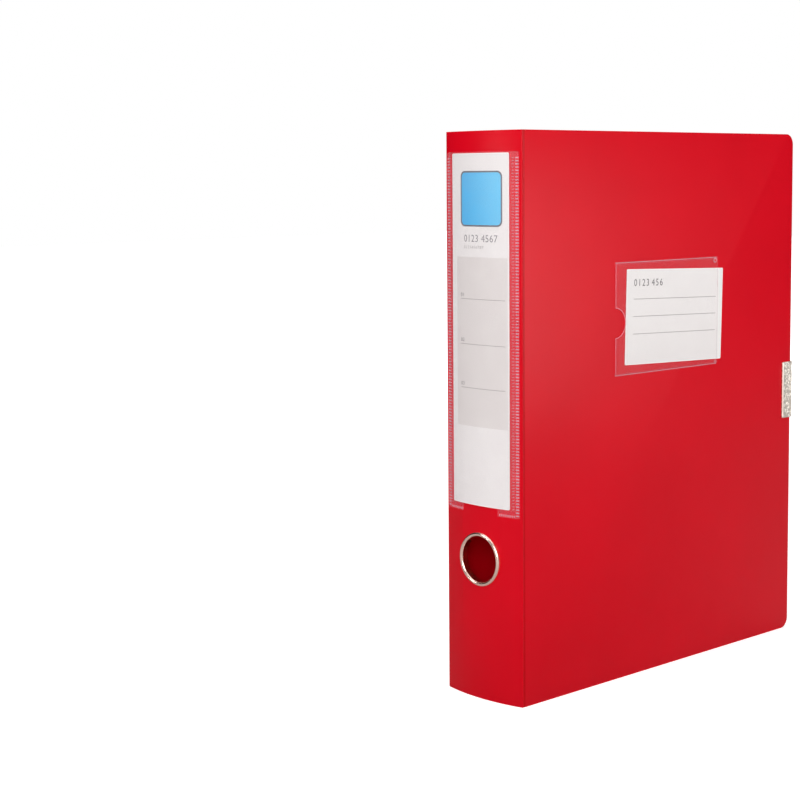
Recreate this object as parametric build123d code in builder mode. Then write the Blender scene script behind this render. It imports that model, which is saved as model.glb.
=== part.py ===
from build123d import *
import os
from math import cos, radians, sin, sqrt

# A4 polypropylene file box: a shallow tray closed by a bowed spine and a front cover, which turn
# on two folds.  X runs from the spine to the fore-edge, Y from the front cover to the back panel
# and Z up.  The origin is the bottom centre of the closed box.  All sizes are in millimetres.

# Outer box
box_height = 312.0
box_width = 246.0  # folded spine edge to the cover's fore-edge
box_depth = 57.0  # outer face of the cover to outer face of the back panel
sheet = 1.2
spine_bulge = 3.6  # how far the spine bows out past its two folds
fore_corner_radius = 6.5
panel_edge_round = 0.25
fold_clearance = 0.25  # between a fold's bead and the panel that turns about it

# Tray walls
wall_inset = 1.8  # walls stand this far in from the edges of the cover and back panel
cover_gap = 0.3  # free edges of the walls to the closed cover
bend_radius = 1.2  # to the middle of the sheet
weld_flange = 12.0
flange_gap = 0.6
corner_tab = 20.0
spine_flap = 24.0
tab_relief = 2.0

# Rivets that hold the tray corners and the magnet case
rivet_shank_radius = 1.5
rivet_clearance = 0.05
rivet_head_radius = 3.2
rivet_head_height = 0.7
rivet_tail_radius = 2.3
rivet_tail_height = 0.5
rivet_washer_radius = 3.0
rivet_washer_thickness = 0.5
rivet_edge = 11.2  # corner tab's side edge to the rivet
rivet_drop = 9.0  # inner face of the end wall to the rivet

# Steel keeper clip on the cover's fore-edge
clip_height = 35.2
clip_below_middle = 3.4
clip_gauge = 0.8
clip_outer_leg = 9.0
clip_inner_leg = 12.0
clip_seat = 0.3
clip_notch_margin = 0.6

# Magnet catch inside the fore-edge wall
catch_gap = 0.2  # pole plates to the clip's inner leg
case_width = 9.0
case_height = 24.0
case_depth = 14.0
case_wall = 1.5
case_ear = 8.0
case_round = 0.8
pole_thickness = 1.0
pole_proud = 0.3
magnet_recess = 1.0
magnet_fit = 0.05

# Finger ring in the spine
ring_centre_z = 78.2
ring_bore_radius = 12.7
ring_roll = 1.15  # radius of the rolled rim
ring_straight = 0.15  # straight wall under the roll
ring_barrel_wall = 0.55
ring_hole_clearance = 0.05
ring_washer_overlap = 1.0  # past the rim outside
ring_washer_thickness = 0.5
ring_tail_flare = 1.35
ring_tail_thickness = 0.5

# Clear pockets and their cards
film = 0.2
card = 0.3
card_play = 0.1
card_seat_gap = 0.1

spine_pocket_bottom = 103.7
spine_pocket_top_margin = 11.3
spine_pocket_inset = 1.6
spine_pocket_seam = 2.8
spine_pocket_tab_width = 14.0
spine_pocket_tab_height = 4.2
spine_card_front_play = 2.9
spine_card_back_play = 2.4
spine_card_top_margin = 0.7

cover_pocket_left = 76.0
cover_pocket_length = 93.4
cover_pocket_top_margin = 73.0
cover_pocket_height = 64.5
cover_pocket_seam = 1.4
thumb_notch_radius = 8.3
thumb_notch_height = 30.2  # above the pocket's lower edge
cover_card_inset = 9.3  # from the pocket's left end
cover_card_proud = 4.6  # past its right end
cover_card_play = 2.1  # above and below the tilted card
cover_card_drop = 0.6  # the card sits this far below the pocket's middle
cover_card_tilt = 1.8

# Faces and folds worked out from the sizes above
ring_proud = ring_straight + ring_roll
clip_overhang = clip_seat + sheet / 2 + clip_gauge
x_spine = (ring_proud + spine_bulge - box_width - clip_overhang) / 2
x_fore = x_spine + box_width
y_front = (clip_gauge - box_depth) / 2
y_back = y_front + box_depth
y_middle = (y_front + y_back) / 2
x_fold = x_spine + sheet / 2
fold_span = box_depth - sheet
x_apex = x_spine - spine_bulge
x_panel = x_spine + sheet + fold_clearance

# The spine is an arc through both folds
spine_radius = (fold_span**2 / 4 + spine_bulge**2) / (2 * spine_bulge)
spine_outer = spine_radius + sheet / 2
spine_inner = spine_radius - sheet / 2
spine_centre = (x_apex + spine_outer, y_middle)

# Tray faces
x_wall_start = x_spine + wall_inset
x_fore_outer = x_fore - wall_inset
x_fore_inner = x_fore_outer - sheet
y_cover_inner = y_front + sheet
y_wall_front = y_cover_inner + cover_gap
y_back_inner = y_back - sheet
y_flange = y_back_inner - sheet / 2
z_top_outer = box_height - wall_inset
z_top_inner = z_top_outer - sheet
z_bottom_inner = wall_inset + sheet
bend_outer = bend_radius + sheet / 2
x_flange_end = x_fore_inner - weld_flange - flange_gap
y_tab_front = y_wall_front + tab_relief
y_tab_back = y_back_inner - sheet - flange_gap

# Plane of the cover's outer face: local x from the spine edge, local y up, normal outwards
cover_face = Plane(origin=(x_spine, y_front, 0), x_dir=(1, 0, 0), z_dir=(0, -1, 0))

clip_centre_z = box_height / 2 - clip_below_middle

# Rivet places on the outer face of the fore-edge wall, normals outwards
y_catch = y_cover_inner + clip_gauge + catch_gap
y_case = y_catch + pole_proud
y_case_middle = y_case + case_depth / 2
ear_offset = (case_height + case_ear) / 2
rivet_grip = 2 * sheet


def rivet_plane(y, z):
    """Plane on the outer face of the fore-edge wall, pointing outwards, at one rivet."""
    return Plane(origin=(x_fore_outer, y, z), x_dir=(0, 1, 0), z_dir=(1, 0, 0))


corner_ys = (y_tab_front + rivet_edge, y_tab_back - rivet_edge)
top_rivets = [rivet_plane(y, z_top_inner - rivet_drop) for y in corner_ys]
bottom_rivets = [rivet_plane(y, z_bottom_inner + rivet_drop) for y in corner_ys]
catch_rivets = [
    rivet_plane(y_case_middle, clip_centre_z + side * ear_offset) for side in (-1, 1)
]
all_rivets = top_rivets + bottom_rivets + catch_rivets
rivet_hole_radius = rivet_shank_radius + rivet_clearance


def spine_band(z, inner, outer, low_y, high_y):
    """Sketch, at one height, of a strip that follows the spine's arc between two depths."""
    with BuildSketch(Plane.XY.offset(z)) as band:
        with Locations(spine_centre):
            Circle(outer)
            Circle(inner, mode=Mode.SUBTRACT)
        with Locations((x_apex, (low_y + high_y) / 2)):
            Rectangle(2 * (spine_bulge + sheet), high_y - low_y, mode=Mode.INTERSECT)
    return band.sketch


# ---- Front cover and back panel ---------------------------------------------------------------

with BuildPart() as front_cover:
    with BuildSketch(cover_face) as cover_outline:
        with Locations((x_panel - x_spine, 0)):
            Rectangle(x_fore - x_panel, box_height, align=(Align.MIN, Align.MIN))
        fillet(cover_outline.vertices().group_by(Axis.X)[-1], fore_corner_radius)
    extrude(amount=-sheet)
    fillet(front_cover.edges().filter_by(Axis.Z).group_by(Axis.X)[0], panel_edge_round)

with BuildPart() as back_panel:
    mirror(front_cover.part, about=Plane.XZ.offset(-y_middle))

# ---- Tray walls -------------------------------------------------------------------------------

z_top_sheet = z_top_inner + sheet / 2
x_plate_start = x_wall_start + bend_outer
x_plate_end = x_fore_inner - bend_outer

with BuildPart() as top_wall:
    # Wall and weld flange: one sheet bent along the back panel
    with BuildSketch(Plane.YZ.offset(x_plate_start)):
        with BuildLine():
            FilletPolyline(
                (y_wall_front, z_top_sheet),
                (y_flange, z_top_sheet),
                (y_flange, z_top_sheet - weld_flange),
                radius=bend_radius,
            )
        trace(line_width=sheet)
    extrude(amount=x_flange_end - x_plate_start)
    # Plain wall beyond the flange, beside the fore-edge wall's own flange
    with BuildSketch(Plane.YZ.offset(x_flange_end)):
        with Locations((y_wall_front, z_top_inner)):
            Rectangle(y_back_inner - y_wall_front, sheet, align=(Align.MIN, Align.MIN))
    extrude(amount=x_plate_end - x_flange_end)
    # Free flap at the spine end and riveted tab at the fore-edge end
    with BuildSketch(Plane.XZ.offset(-y_tab_back)):
        with BuildLine():
            FilletPolyline(
                (x_wall_start + sheet / 2, z_top_sheet - spine_flap),
                (x_wall_start + sheet / 2, z_top_sheet),
                (x_fore_inner - sheet / 2, z_top_sheet),
                (x_fore_inner - sheet / 2, z_top_sheet - corner_tab),
                radius=bend_radius,
            )
        trace(line_width=sheet)
    extrude(amount=y_tab_back - y_tab_front)
    with Locations(*top_rivets):
        Hole(rivet_hole_radius, depth=rivet_grip + sheet)

with BuildPart() as bottom_wall:
    mirror(top_wall.part, about=Plane.XY.offset(box_height / 2))

z_flange_low = z_bottom_inner + bend_radius
z_flange_high = z_top_inner - bend_radius
notch_height = clip_height + 2 * clip_notch_margin

with BuildPart() as fore_edge_wall:
    with BuildSketch(Plane.XY.offset(z_flange_low)):
        with BuildLine():
            FilletPolyline(
                (x_fore_inner + sheet / 2, y_wall_front),
                (x_fore_inner + sheet / 2, y_flange),
                (x_fore_inner - weld_flange, y_flange),
                radius=bend_radius,
            )
        trace(line_width=sheet)
    extrude(amount=z_flange_high - z_flange_low)
    # Plain ends of the wall, which close the corners of the tray
    for low, high in ((wall_inset, z_flange_low), (z_flange_high, z_top_outer)):
        with BuildSketch(Plane.XY.offset(low)):
            with Locations((x_fore_inner, y_wall_front)):
                Rectangle(sheet, y_flange - y_wall_front, align=(Align.MIN, Align.MIN))
        extrude(amount=high - low)
    # Notch that the keeper clip's inner leg closes into
    with Locations((x_fore_outer, y_cover_inner, clip_centre_z)):
        Box(
            4 * sheet,
            2 * (clip_gauge + cover_gap),
            notch_height,
            mode=Mode.SUBTRACT,
        )
    with Locations(*all_rivets):
        Hole(rivet_hole_radius, depth=rivet_grip)

# ---- Rivets -----------------------------------------------------------------------------------

tail_face = -(rivet_grip + rivet_washer_thickness)

with BuildPart() as rivet:
    with BuildSketch(Plane.XZ):
        with BuildLine():
            Polyline(
                (0, rivet_head_height),
                (0, tail_face - rivet_tail_height),
                (rivet_tail_radius, tail_face - rivet_tail_height),
                (rivet_tail_radius, tail_face),
                (rivet_shank_radius, tail_face),
                (rivet_shank_radius, 0),
                (rivet_head_radius, 0),
            )
            TangentArc((0, rivet_head_height), (rivet_head_radius, 0), tangent=(1, 0))
        make_face()
    revolve(axis=Axis.Z)

with BuildPart() as rivet_washer:
    with BuildSketch(Plane.XY.offset(tail_face)):
        Circle(rivet_washer_radius)
        Circle(rivet_hole_radius, mode=Mode.SUBTRACT)
    extrude(amount=rivet_washer_thickness)

with BuildPart() as tray_rivets:
    with Locations(*all_rivets):
        add(rivet.part)

with BuildPart() as tray_rivet_washers:
    with Locations(*all_rivets):
        add(rivet_washer.part)

# ---- Magnet catch -----------------------------------------------------------------------------

x_case = x_fore_inner - case_width
pocket_width = case_width - 2 * case_wall
pocket_height = case_height - 2 * case_wall
magnet_width = pocket_width - 2 * pole_thickness - 4 * magnet_fit
y_pocket_end = y_case + case_depth - case_wall
x_case_middle = x_case + case_width / 2
insert_height = pocket_height - 2 * magnet_fit

with BuildPart() as magnet_case:
    with BuildSketch(Plane.XZ.offset(-y_case)):
        with Locations((x_case_middle, clip_centre_z)):
            Rectangle(case_width, case_height)
        with Locations((x_fore_inner, clip_centre_z)):
            Rectangle(sheet, case_height + 2 * case_ear, align=(Align.MAX, Align.CENTER))
    extrude(amount=-case_depth)
    fillet(magnet_case.edges().filter_by(Axis.Y).group_by(Axis.X)[0], case_round)
    with BuildSketch(Plane.XZ.offset(-y_case)):
        with Locations((x_case_middle, clip_centre_z)):
            Rectangle(pocket_width, pocket_height)
    extrude(amount=y_case - y_pocket_end, mode=Mode.SUBTRACT)
    with Locations(*catch_rivets):
        Hole(rivet_hole_radius, depth=rivet_grip + sheet)

with BuildPart() as magnet_block:
    with BuildSketch(Plane.XZ.offset(-(y_catch + magnet_recess))):
        with Locations((x_case_middle, clip_centre_z)):
            Rectangle(magnet_width, insert_height)
    extrude(amount=-(y_pocket_end - y_catch - magnet_recess))

pole_offset = (magnet_width + pole_thickness) / 2 + magnet_fit

with BuildPart() as pole_plates:
    with BuildSketch(Plane.XZ.offset(-y_catch)):
        with Locations(*[(x_case_middle + side * pole_offset, clip_centre_z) for side in (-1, 1)]):
            Rectangle(pole_thickness, insert_height)
    extrude(amount=-(y_pocket_end - y_catch))

# ---- Keeper clip ------------------------------------------------------------------------------

x_clip_bend = x_fore + clip_seat
y_clip_outer = y_front - clip_gauge / 2
y_clip_inner = y_cover_inner + clip_gauge / 2

with BuildPart() as keeper_clip:
    with BuildSketch(Plane.XY.offset(clip_centre_z - clip_height / 2)):
        with BuildLine():
            Line((x_fore - clip_outer_leg, y_clip_outer), (x_clip_bend, y_clip_outer))
            TangentArc((x_clip_bend, y_clip_outer), (x_clip_bend, y_clip_inner), tangent=(1, 0))
            Line((x_clip_bend, y_clip_inner), (x_fore - clip_inner_leg, y_clip_inner))
        trace(line_width=clip_gauge)
    extrude(amount=clip_height)

# ---- Spine ------------------------------------------------------------------------------------

ring_radius = ring_bore_radius + 2 * ring_roll
ring_washer_radius = ring_radius + ring_washer_overlap
ring_tail_radius = ring_bore_radius + ring_barrel_wall + ring_tail_flare
ring_centre = (x_apex, y_middle, ring_centre_z)
ring_axis = Axis(ring_centre, (1, 0, 0))
ring_face = Plane(origin=ring_centre, x_dir=(0, 1, 0), z_dir=(-1, 0, 0))
# Half section of the ring: local x is the radius, local y points out of the spine
ring_section = Plane(origin=ring_centre, x_dir=(0, 0, 1), z_dir=(0, -1, 0))
ring_hole_radius = ring_bore_radius + ring_barrel_wall + ring_hole_clearance

with BuildPart() as spine_panel:
    with BuildSketch():
        with BuildLine(mode=Mode.PRIVATE) as spine_line:
            ThreePointArc(
                (x_fold, y_front + sheet / 2),
                (x_apex + sheet / 2, y_middle),
                (x_fold, y_back - sheet / 2),
            )
        SlotArc(spine_line.edge(), sheet)
    extrude(amount=box_height)
    with Locations(ring_face):
        Hole(ring_hole_radius, depth=spine_bulge + sheet)

# ---- Finger ring ------------------------------------------------------------------------------


def arc_drop(arc_radius, half_width):
    """How far the bowed spine falls away from its crest at a distance from the middle."""
    return arc_radius - sqrt(arc_radius**2 - half_width**2)


rim_skirt = arc_drop(spine_outer, ring_radius)
washer_face = sheet + arc_drop(spine_inner, ring_washer_radius) + ring_washer_thickness

with BuildPart() as finger_ring_eyelet:
    # Rolled rim, cut underneath to the curve of the spine
    with BuildSketch(ring_section):
        with BuildLine():
            Polyline(
                (ring_bore_radius, ring_straight),
                (ring_bore_radius, -rim_skirt),
                (ring_radius, -rim_skirt),
                (ring_radius, ring_straight),
            )
            ThreePointArc(
                (ring_radius, ring_straight),
                (ring_bore_radius + ring_roll, ring_proud),
                (ring_bore_radius, ring_straight),
            )
        make_face()
    revolve(axis=ring_axis)
    with BuildSketch(Plane.XY.offset(ring_centre_z - ring_radius)):
        with Locations(spine_centre):
            Circle(spine_outer)
    extrude(amount=2 * ring_radius, mode=Mode.SUBTRACT)
    # Barrel through the spine, clinched over the washer inside
    with BuildSketch(ring_section):
        with Locations((ring_bore_radius, -washer_face)):
            Rectangle(
                ring_barrel_wall, washer_face + ring_straight, align=(Align.MIN, Align.MIN)
            )
        with Locations((ring_bore_radius, -washer_face)):
            Rectangle(
                ring_tail_radius - ring_bore_radius,
                ring_tail_thickness,
                align=(Align.MIN, Align.MAX),
            )
    revolve(axis=ring_axis)

with BuildPart() as finger_ring_washer:
    with BuildSketch(ring_face.offset(-washer_face)):
        Circle(ring_washer_radius)
        Circle(ring_hole_radius, mode=Mode.SUBTRACT)
    extrude(amount=washer_face)
    with BuildSketch(Plane.XY.offset(ring_centre_z - ring_washer_radius)):
        with Locations(spine_centre):
            Circle(spine_inner)
    extrude(amount=2 * ring_washer_radius, mode=Mode.INTERSECT)

# ---- Spine pocket and its card ----------------------------------------------------------------

pocket_inside = card + 2 * card_play
pocket_outside = pocket_inside + film
film_low = y_front + spine_pocket_inset
film_high = y_back - spine_pocket_inset
raised_low = film_low + spine_pocket_seam
raised_high = film_high - spine_pocket_seam
room_low = raised_low + film
room_high = raised_high - film
spine_pocket_height = box_height - spine_pocket_top_margin - spine_pocket_bottom
z_spine_card = spine_pocket_bottom + spine_pocket_tab_height + card_seat_gap
spine_card_height = box_height - spine_pocket_top_margin - spine_card_top_margin - z_spine_card

with BuildPart() as spine_pocket_film:
    extrude(
        spine_band(
            spine_pocket_bottom, spine_outer, spine_outer + pocket_outside, film_low, film_high
        ),
        amount=spine_pocket_height,
    )
    # Seams: the film lies against the spine along both long sides
    for low, high in ((film_low, raised_low), (raised_high, film_high)):
        extrude(
            spine_band(
                spine_pocket_bottom, spine_outer + film, spine_outer + 2 * pocket_outside, low, high
            ),
            amount=spine_pocket_height,
            mode=Mode.SUBTRACT,
        )
    # Room for the card, open at the top
    extrude(
        spine_band(
            spine_pocket_bottom + spine_pocket_tab_height,
            spine_inner,
            spine_outer + pocket_inside,
            room_low,
            room_high,
        ),
        amount=spine_pocket_height,
        mode=Mode.SUBTRACT,
    )
    # The lower edge is cut away between its two welded tabs
    extrude(
        spine_band(
            spine_pocket_bottom,
            spine_inner,
            spine_outer + 2 * pocket_outside,
            film_low + spine_pocket_tab_width,
            film_high - spine_pocket_tab_width,
        ),
        amount=spine_pocket_tab_height,
        mode=Mode.SUBTRACT,
    )

with BuildPart() as spine_label_card:
    extrude(
        spine_band(
            z_spine_card,
            spine_outer + card_play,
            spine_outer + card_play + card,
            room_low + spine_card_front_play,
            room_high - spine_card_back_play,
        ),
        amount=spine_card_height,
    )

# ---- Cover pocket and its card ----------------------------------------------------------------

cover_pocket_bottom = box_height - cover_pocket_top_margin - cover_pocket_height
cover_room_height = cover_pocket_height - 2 * (cover_pocket_seam + film)

with BuildPart() as cover_pocket_film:
    with BuildSketch(cover_face):
        with Locations((cover_pocket_left, cover_pocket_bottom)):
            Rectangle(
                cover_pocket_length, cover_pocket_height, align=(Align.MIN, Align.MIN)
            )
    extrude(amount=pocket_outside)
    # Seams along the two long edges
    with BuildSketch(cover_face.offset(film)):
        for z in (cover_pocket_bottom, cover_pocket_bottom + cover_pocket_height - cover_pocket_seam):
            with Locations((cover_pocket_left, z)):
                Rectangle(
                    cover_pocket_length, cover_pocket_seam, align=(Align.MIN, Align.MIN)
                )
    extrude(amount=pocket_outside, mode=Mode.SUBTRACT)
    # Room for the card, open at both ends
    with BuildSketch(cover_face):
        with Locations((cover_pocket_left, cover_pocket_bottom + cover_pocket_seam + film)):
            Rectangle(
                cover_pocket_length,
                cover_room_height,
                align=(Align.MIN, Align.MIN),
            )
    extrude(amount=pocket_inside, mode=Mode.SUBTRACT)
    # Thumb notch at the left end
    with BuildSketch(cover_face):
        with Locations((cover_pocket_left, cover_pocket_bottom + thumb_notch_height)):
            Circle(thumb_notch_radius)
    extrude(amount=2 * pocket_outside, mode=Mode.SUBTRACT)

cover_card_length = cover_pocket_length - cover_card_inset + cover_card_proud
tilt = radians(cover_card_tilt)
cover_card_height = (
    cover_room_height - 2 * cover_card_play - cover_card_length * sin(tilt)
) / cos(tilt)
cover_card_centre = (
    cover_pocket_left + cover_card_inset + cover_card_length / 2,
    cover_pocket_bottom + cover_pocket_height / 2 - cover_card_drop,
)

with BuildPart() as cover_label_card:
    with BuildSketch(cover_face.offset(card_play)):
        with Locations(cover_card_centre):
            Rectangle(cover_card_length, cover_card_height, rotation=-cover_card_tilt)
    extrude(amount=card)

# ---- Export -----------------------------------------------------------------------------------

pieces = {
    "back_panel": back_panel,
    "top_wall": top_wall,
    "bottom_wall": bottom_wall,
    "fore_edge_wall": fore_edge_wall,
    "tray_rivets": tray_rivets,
    "tray_rivet_washers": tray_rivet_washers,
    "magnet_case": magnet_case,
    "magnet_block": magnet_block,
    "pole_plates": pole_plates,
    "spine_panel": spine_panel,
    "finger_ring_eyelet": finger_ring_eyelet,
    "finger_ring_washer": finger_ring_washer,
    "spine_pocket_film": spine_pocket_film,
    "spine_label_card": spine_label_card,
    "front_cover": front_cover,
    "keeper_clip": keeper_clip,
    "cover_pocket_film": cover_pocket_film,
    "cover_label_card": cover_label_card,
}

os.makedirs("parts", exist_ok=True)
for name, piece in pieces.items():
    piece.part.label = name
    export_step(piece.part, f"parts/{name}.step")
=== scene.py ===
"""Red polypropylene file box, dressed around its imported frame.

The closed box stands on a pale floor with its spine towards -X, its front cover towards -Y and
its fore-edge towards +X.  Sizes are in metres; MM turns a size in millimetres into metres.
"""

import logging
from dataclasses import dataclass, field
from enum import Enum
from math import asin, cos, pi, radians, sin, sqrt
from typing import Any, Callable, Iterable, Mapping, Sequence

import bmesh
import bpy
from mathutils import Matrix, Vector, noise


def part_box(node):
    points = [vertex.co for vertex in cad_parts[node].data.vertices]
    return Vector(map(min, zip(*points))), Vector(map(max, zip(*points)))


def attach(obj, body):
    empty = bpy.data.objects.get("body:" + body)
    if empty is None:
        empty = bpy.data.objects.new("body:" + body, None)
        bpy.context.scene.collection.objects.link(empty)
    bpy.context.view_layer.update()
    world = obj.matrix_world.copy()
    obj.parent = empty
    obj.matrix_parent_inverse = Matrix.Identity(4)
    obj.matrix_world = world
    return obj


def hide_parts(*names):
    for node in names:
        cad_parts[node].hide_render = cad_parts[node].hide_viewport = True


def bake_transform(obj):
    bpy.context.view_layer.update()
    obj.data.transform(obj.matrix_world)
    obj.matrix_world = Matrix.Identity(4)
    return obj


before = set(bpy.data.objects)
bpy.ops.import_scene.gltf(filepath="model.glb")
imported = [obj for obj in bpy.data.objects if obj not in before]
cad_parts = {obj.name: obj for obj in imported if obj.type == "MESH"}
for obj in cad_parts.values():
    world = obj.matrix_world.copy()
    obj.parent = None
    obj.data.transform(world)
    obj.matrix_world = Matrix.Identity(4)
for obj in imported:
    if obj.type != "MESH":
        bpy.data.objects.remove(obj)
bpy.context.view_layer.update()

LOG = logging.getLogger("file_box")
BMesh = bmesh.types.BMesh
Tree = bpy.types.NodeTree
Socket = bpy.types.NodeSocket
Direction = tuple[float, float, float]
MM = 0.001
TINY = 1e-6
SHARP_EDGE = radians(38)
PUNCH_DEPTH = 7 * MM
# Axes of a piece that is laid out flat before it is bent round the spine.
OUT, ACROSS, UP = 0, 1, 2


class Body(str, Enum):
    """The bodies that the pieces ride on."""

    TRAY = "tray"
    SPINE = "spine"
    COVER = "cover"
    SPINE_CARD = "spine_card"
    COVER_CARD = "cover_card"


class Slot(str, Enum):
    """The record's material slots."""

    SHEET = "red_polypropylene"
    FILM = "clear_film"
    CARD = "label_card"
    NICKEL = "nickel"
    CLIP = "clip_steel"
    FERRITE = "ferrite"


# ---- Nodes and colours --------------------------------------------------------------------------


def linear(hex_colour: str, alpha: float = 1.0) -> tuple[float, float, float, float]:
    """Turn an sRGB hex colour into linear RGBA.

    Args:
        hex_colour: Six hex digits, such as "CE0F1E".
        alpha: The fourth channel, passed through.

    Returns:
        The colour as Blender's sockets take it.
    """
    channels = (int(hex_colour[i:i + 2], 16) / 255 for i in (0, 2, 4))
    red, green, blue = (
        c / 12.92 if c <= 0.04045 else ((c + 0.055) / 1.055) ** 2.4 for c in channels
    )
    return red, green, blue, alpha


def add_node(
    tree: Tree,
    kind: str,
    values: Mapping[str | int, Any] | None = None,
    links: Mapping[str | int, Socket] | None = None,
    **settings: Any,
) -> bpy.types.Node:
    """Add one node with its settings, socket values and incoming links.

    Args:
        tree: The node tree that gets the node.
        kind: The node's type name.
        values: Constant values by input socket.
        links: Source sockets by input socket.
        **settings: The node's own properties.

    Returns:
        The new node.
    """
    node = tree.nodes.new(kind)
    for name, value in settings.items():
        setattr(node, name, value)
    for socket, value in (values or {}).items():
        node.inputs[socket].default_value = value
    for socket, source in (links or {}).items():
        tree.links.new(source, node.inputs[socket])
    return node


def noise_at(
    tree: Tree, position: Socket, grain: float, detail: float = 2.0
) -> Socket:
    """Noise whose blotches are about one grain across.

    Args:
        tree: The material's node tree.
        position: The coordinates that the noise reads.
        grain: Real size of a blotch in metres.
        detail: Octaves of finer noise.

    Returns:
        The noise's factor, about 0.5 on average.
    """
    node = add_node(
        tree,
        "ShaderNodeTexNoise",
        values={"Scale": 0.5 / grain, "Detail": detail, "Roughness": 0.55},
        links={"Vector": position},
    )
    return node.outputs["Fac"]


def spread(
    tree: Tree, source: Socket, low: float, high: float
) -> Socket:
    """Spread the middle of a noise factor over a range.

    Args:
        tree: The material's node tree.
        source: A factor whose interesting part lies between 0.3 and 0.7.
        low: Value at 0.3.
        high: Value at 0.7.

    Returns:
        The value in its new range.
    """
    node = add_node(
        tree,
        "ShaderNodeMapRange",
        values={"From Min": 0.3, "From Max": 0.7, "To Min": low, "To Max": high},
        links={"Value": source},
    )
    return node.outputs["Result"]


def blend_colours(tree: Tree, factor: Socket, first: str, second: str) -> Socket:
    """Mix two hex colours by a factor.

    Args:
        tree: The material's node tree.
        factor: 0 gives the first colour and 1 the second.
        first: Hex colour.
        second: Hex colour.

    Returns:
        The mixed colour.
    """
    ramp = add_node(tree, "ShaderNodeValToRGB", links={"Fac": factor})
    ramp.color_ramp.elements[0].color = linear(first)
    ramp.color_ramp.elements[1].color = linear(second)
    return ramp.outputs["Color"]


def mottle(tree: Tree, source: Socket, low: str, high: str) -> Socket:
    """Mix two hex colours by a noise factor, spread to its full range."""
    return blend_colours(tree, spread(tree, source, 0.0, 1.0), low, high)


def bump(tree: Tree, height: Socket, strength: float, distance: float, **links: Socket) -> Socket:
    """A surface normal that is tilted by a height.

    Args:
        tree: The material's node tree.
        height: The height, from 0 to 1.
        strength: Strength of the tilt.
        distance: What a height of 1 stands for, in metres.
        **links: The bump node's other incoming links.

    Returns:
        The normal.
    """
    values = {"Strength": strength, "Distance": distance}
    node = add_node(tree, "ShaderNodeBump", values, {"Height": height, **links})
    return node.outputs["Normal"]


def principled(tree: Tree, values: Mapping[str, Any], **links: Socket) -> Socket:
    """A Principled BSDF.

    Args:
        tree: The material's node tree.
        values: Constant values by input socket.
        **links: Source sockets by input socket, with an underscore for each space in its name.

    Returns:
        The shader.
    """
    named = {name.replace("_", " "): source for name, source in links.items()}
    return add_node(tree, "ShaderNodeBsdfPrincipled", values, named).outputs["BSDF"]


def calculate(tree: Tree, operation: str, first: Socket, second: Socket | float) -> Socket:
    """One step of arithmetic, whose result is kept between 0 and 1.

    Args:
        tree: The node tree.
        operation: Blender's name of the step.
        first: The first operand.
        second: The second operand, a socket or a number.

    Returns:
        The result.
    """
    node = add_node(tree, "ShaderNodeMath", links={0: first}, operation=operation, use_clamp=True)
    if isinstance(second, float):
        node.inputs[1].default_value = second
    else:
        tree.links.new(second, node.inputs[1])
    return node.outputs["Value"]


# ---- Finishes -----------------------------------------------------------------------------------


@dataclass(frozen=True)
class Finish:
    """A surface finish that can make its own material.

    Attributes:
        name: The material's name.
    """

    name: str

    def material(self) -> bpy.types.Material:
        """The finish's material, made the first time that it is asked for."""
        made = bpy.data.materials.get(self.name)
        if made is not None:
            return made
        made = bpy.data.materials.new(self.name)
        made.use_nodes = True
        tree = made.node_tree
        tree.nodes.clear()
        output = add_node(tree, "ShaderNodeOutputMaterial")
        place = add_node(tree, "ShaderNodeTexCoord").outputs["Object"]
        tree.links.new(self.shade(tree, place), output.inputs["Surface"])
        return made

    def shade(self, tree: Tree, place: Socket) -> Socket:
        """Build the nodes.

        Args:
            tree: The material's empty node tree.
            place: Object coordinates in metres.

        Returns:
            The shader's output socket.
        """
        raise NotImplementedError


@dataclass(frozen=True)
class PolypropyleneSheet(Finish):
    """Extruded and calendered polypropylene sheet, solid-dyed.

    The rollers leave a fine matt grain and slow waves, so highlights are broad and soft.  The
    plastic lets a little light in, which keeps the shaded side a saturated red.

    Attributes:
        light: Hex colour where the dye is a little thinner.
        deep: Hex colour where it is denser.
        grain: Size of the roller's matt grain, coarser than the real 0.1 mm so that it shows.
        wave: Distance between the slow waves of a flat sheet.
        roughness: Middle of the roughness range.
        glow: Share of the light that scatters inside the plastic.
        translucence: Share of the light that comes through a sheet from its other side.
    """

    light: str = "E2051F"
    deep: str = "DA041C"
    grain: float = 0.45 * MM
    wave: float = 70 * MM
    roughness: float = 0.3
    glow: float = 0.06
    translucence: float = 0.26

    def shade(self, tree: Tree, place: Socket) -> Socket:
        """Build the nodes; see Finish.shade."""
        colour = mottle(tree, noise_at(tree, place, 38 * MM, 3.0), self.deep, self.light)
        # Handling polishes some patches and scuffs others
        handled = noise_at(tree, place, 14 * MM, 5.0)
        roughness = spread(tree, handled, self.roughness - 0.01, self.roughness + 0.01)
        grain = bump(tree, noise_at(tree, place, self.grain, 1.0), 0.22, 0.02 * MM)
        waves = bump(tree, noise_at(tree, place, self.wave, 0.0), 0.5, 0.35 * MM, Normal=grain)
        plastic = {
            "IOR": 1.49,
            "Specular IOR Level": 0.13,
            "Subsurface Weight": self.glow,
            "Subsurface Radius": (1.0, 0.12, 0.10),
            "Subsurface Scale": 1.2 * MM,
        }
        shader = principled(tree, plastic, Base_Color=colour, Roughness=roughness, Normal=waves)
        through = add_node(tree, "ShaderNodeBsdfTranslucent", links={"Color": colour})
        both = add_node(
            tree,
            "ShaderNodeMixShader",
            values={0: self.translucence},
            links={1: shader, 2: through.outputs["BSDF"]},
        )
        return both.outputs["Shader"]


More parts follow.
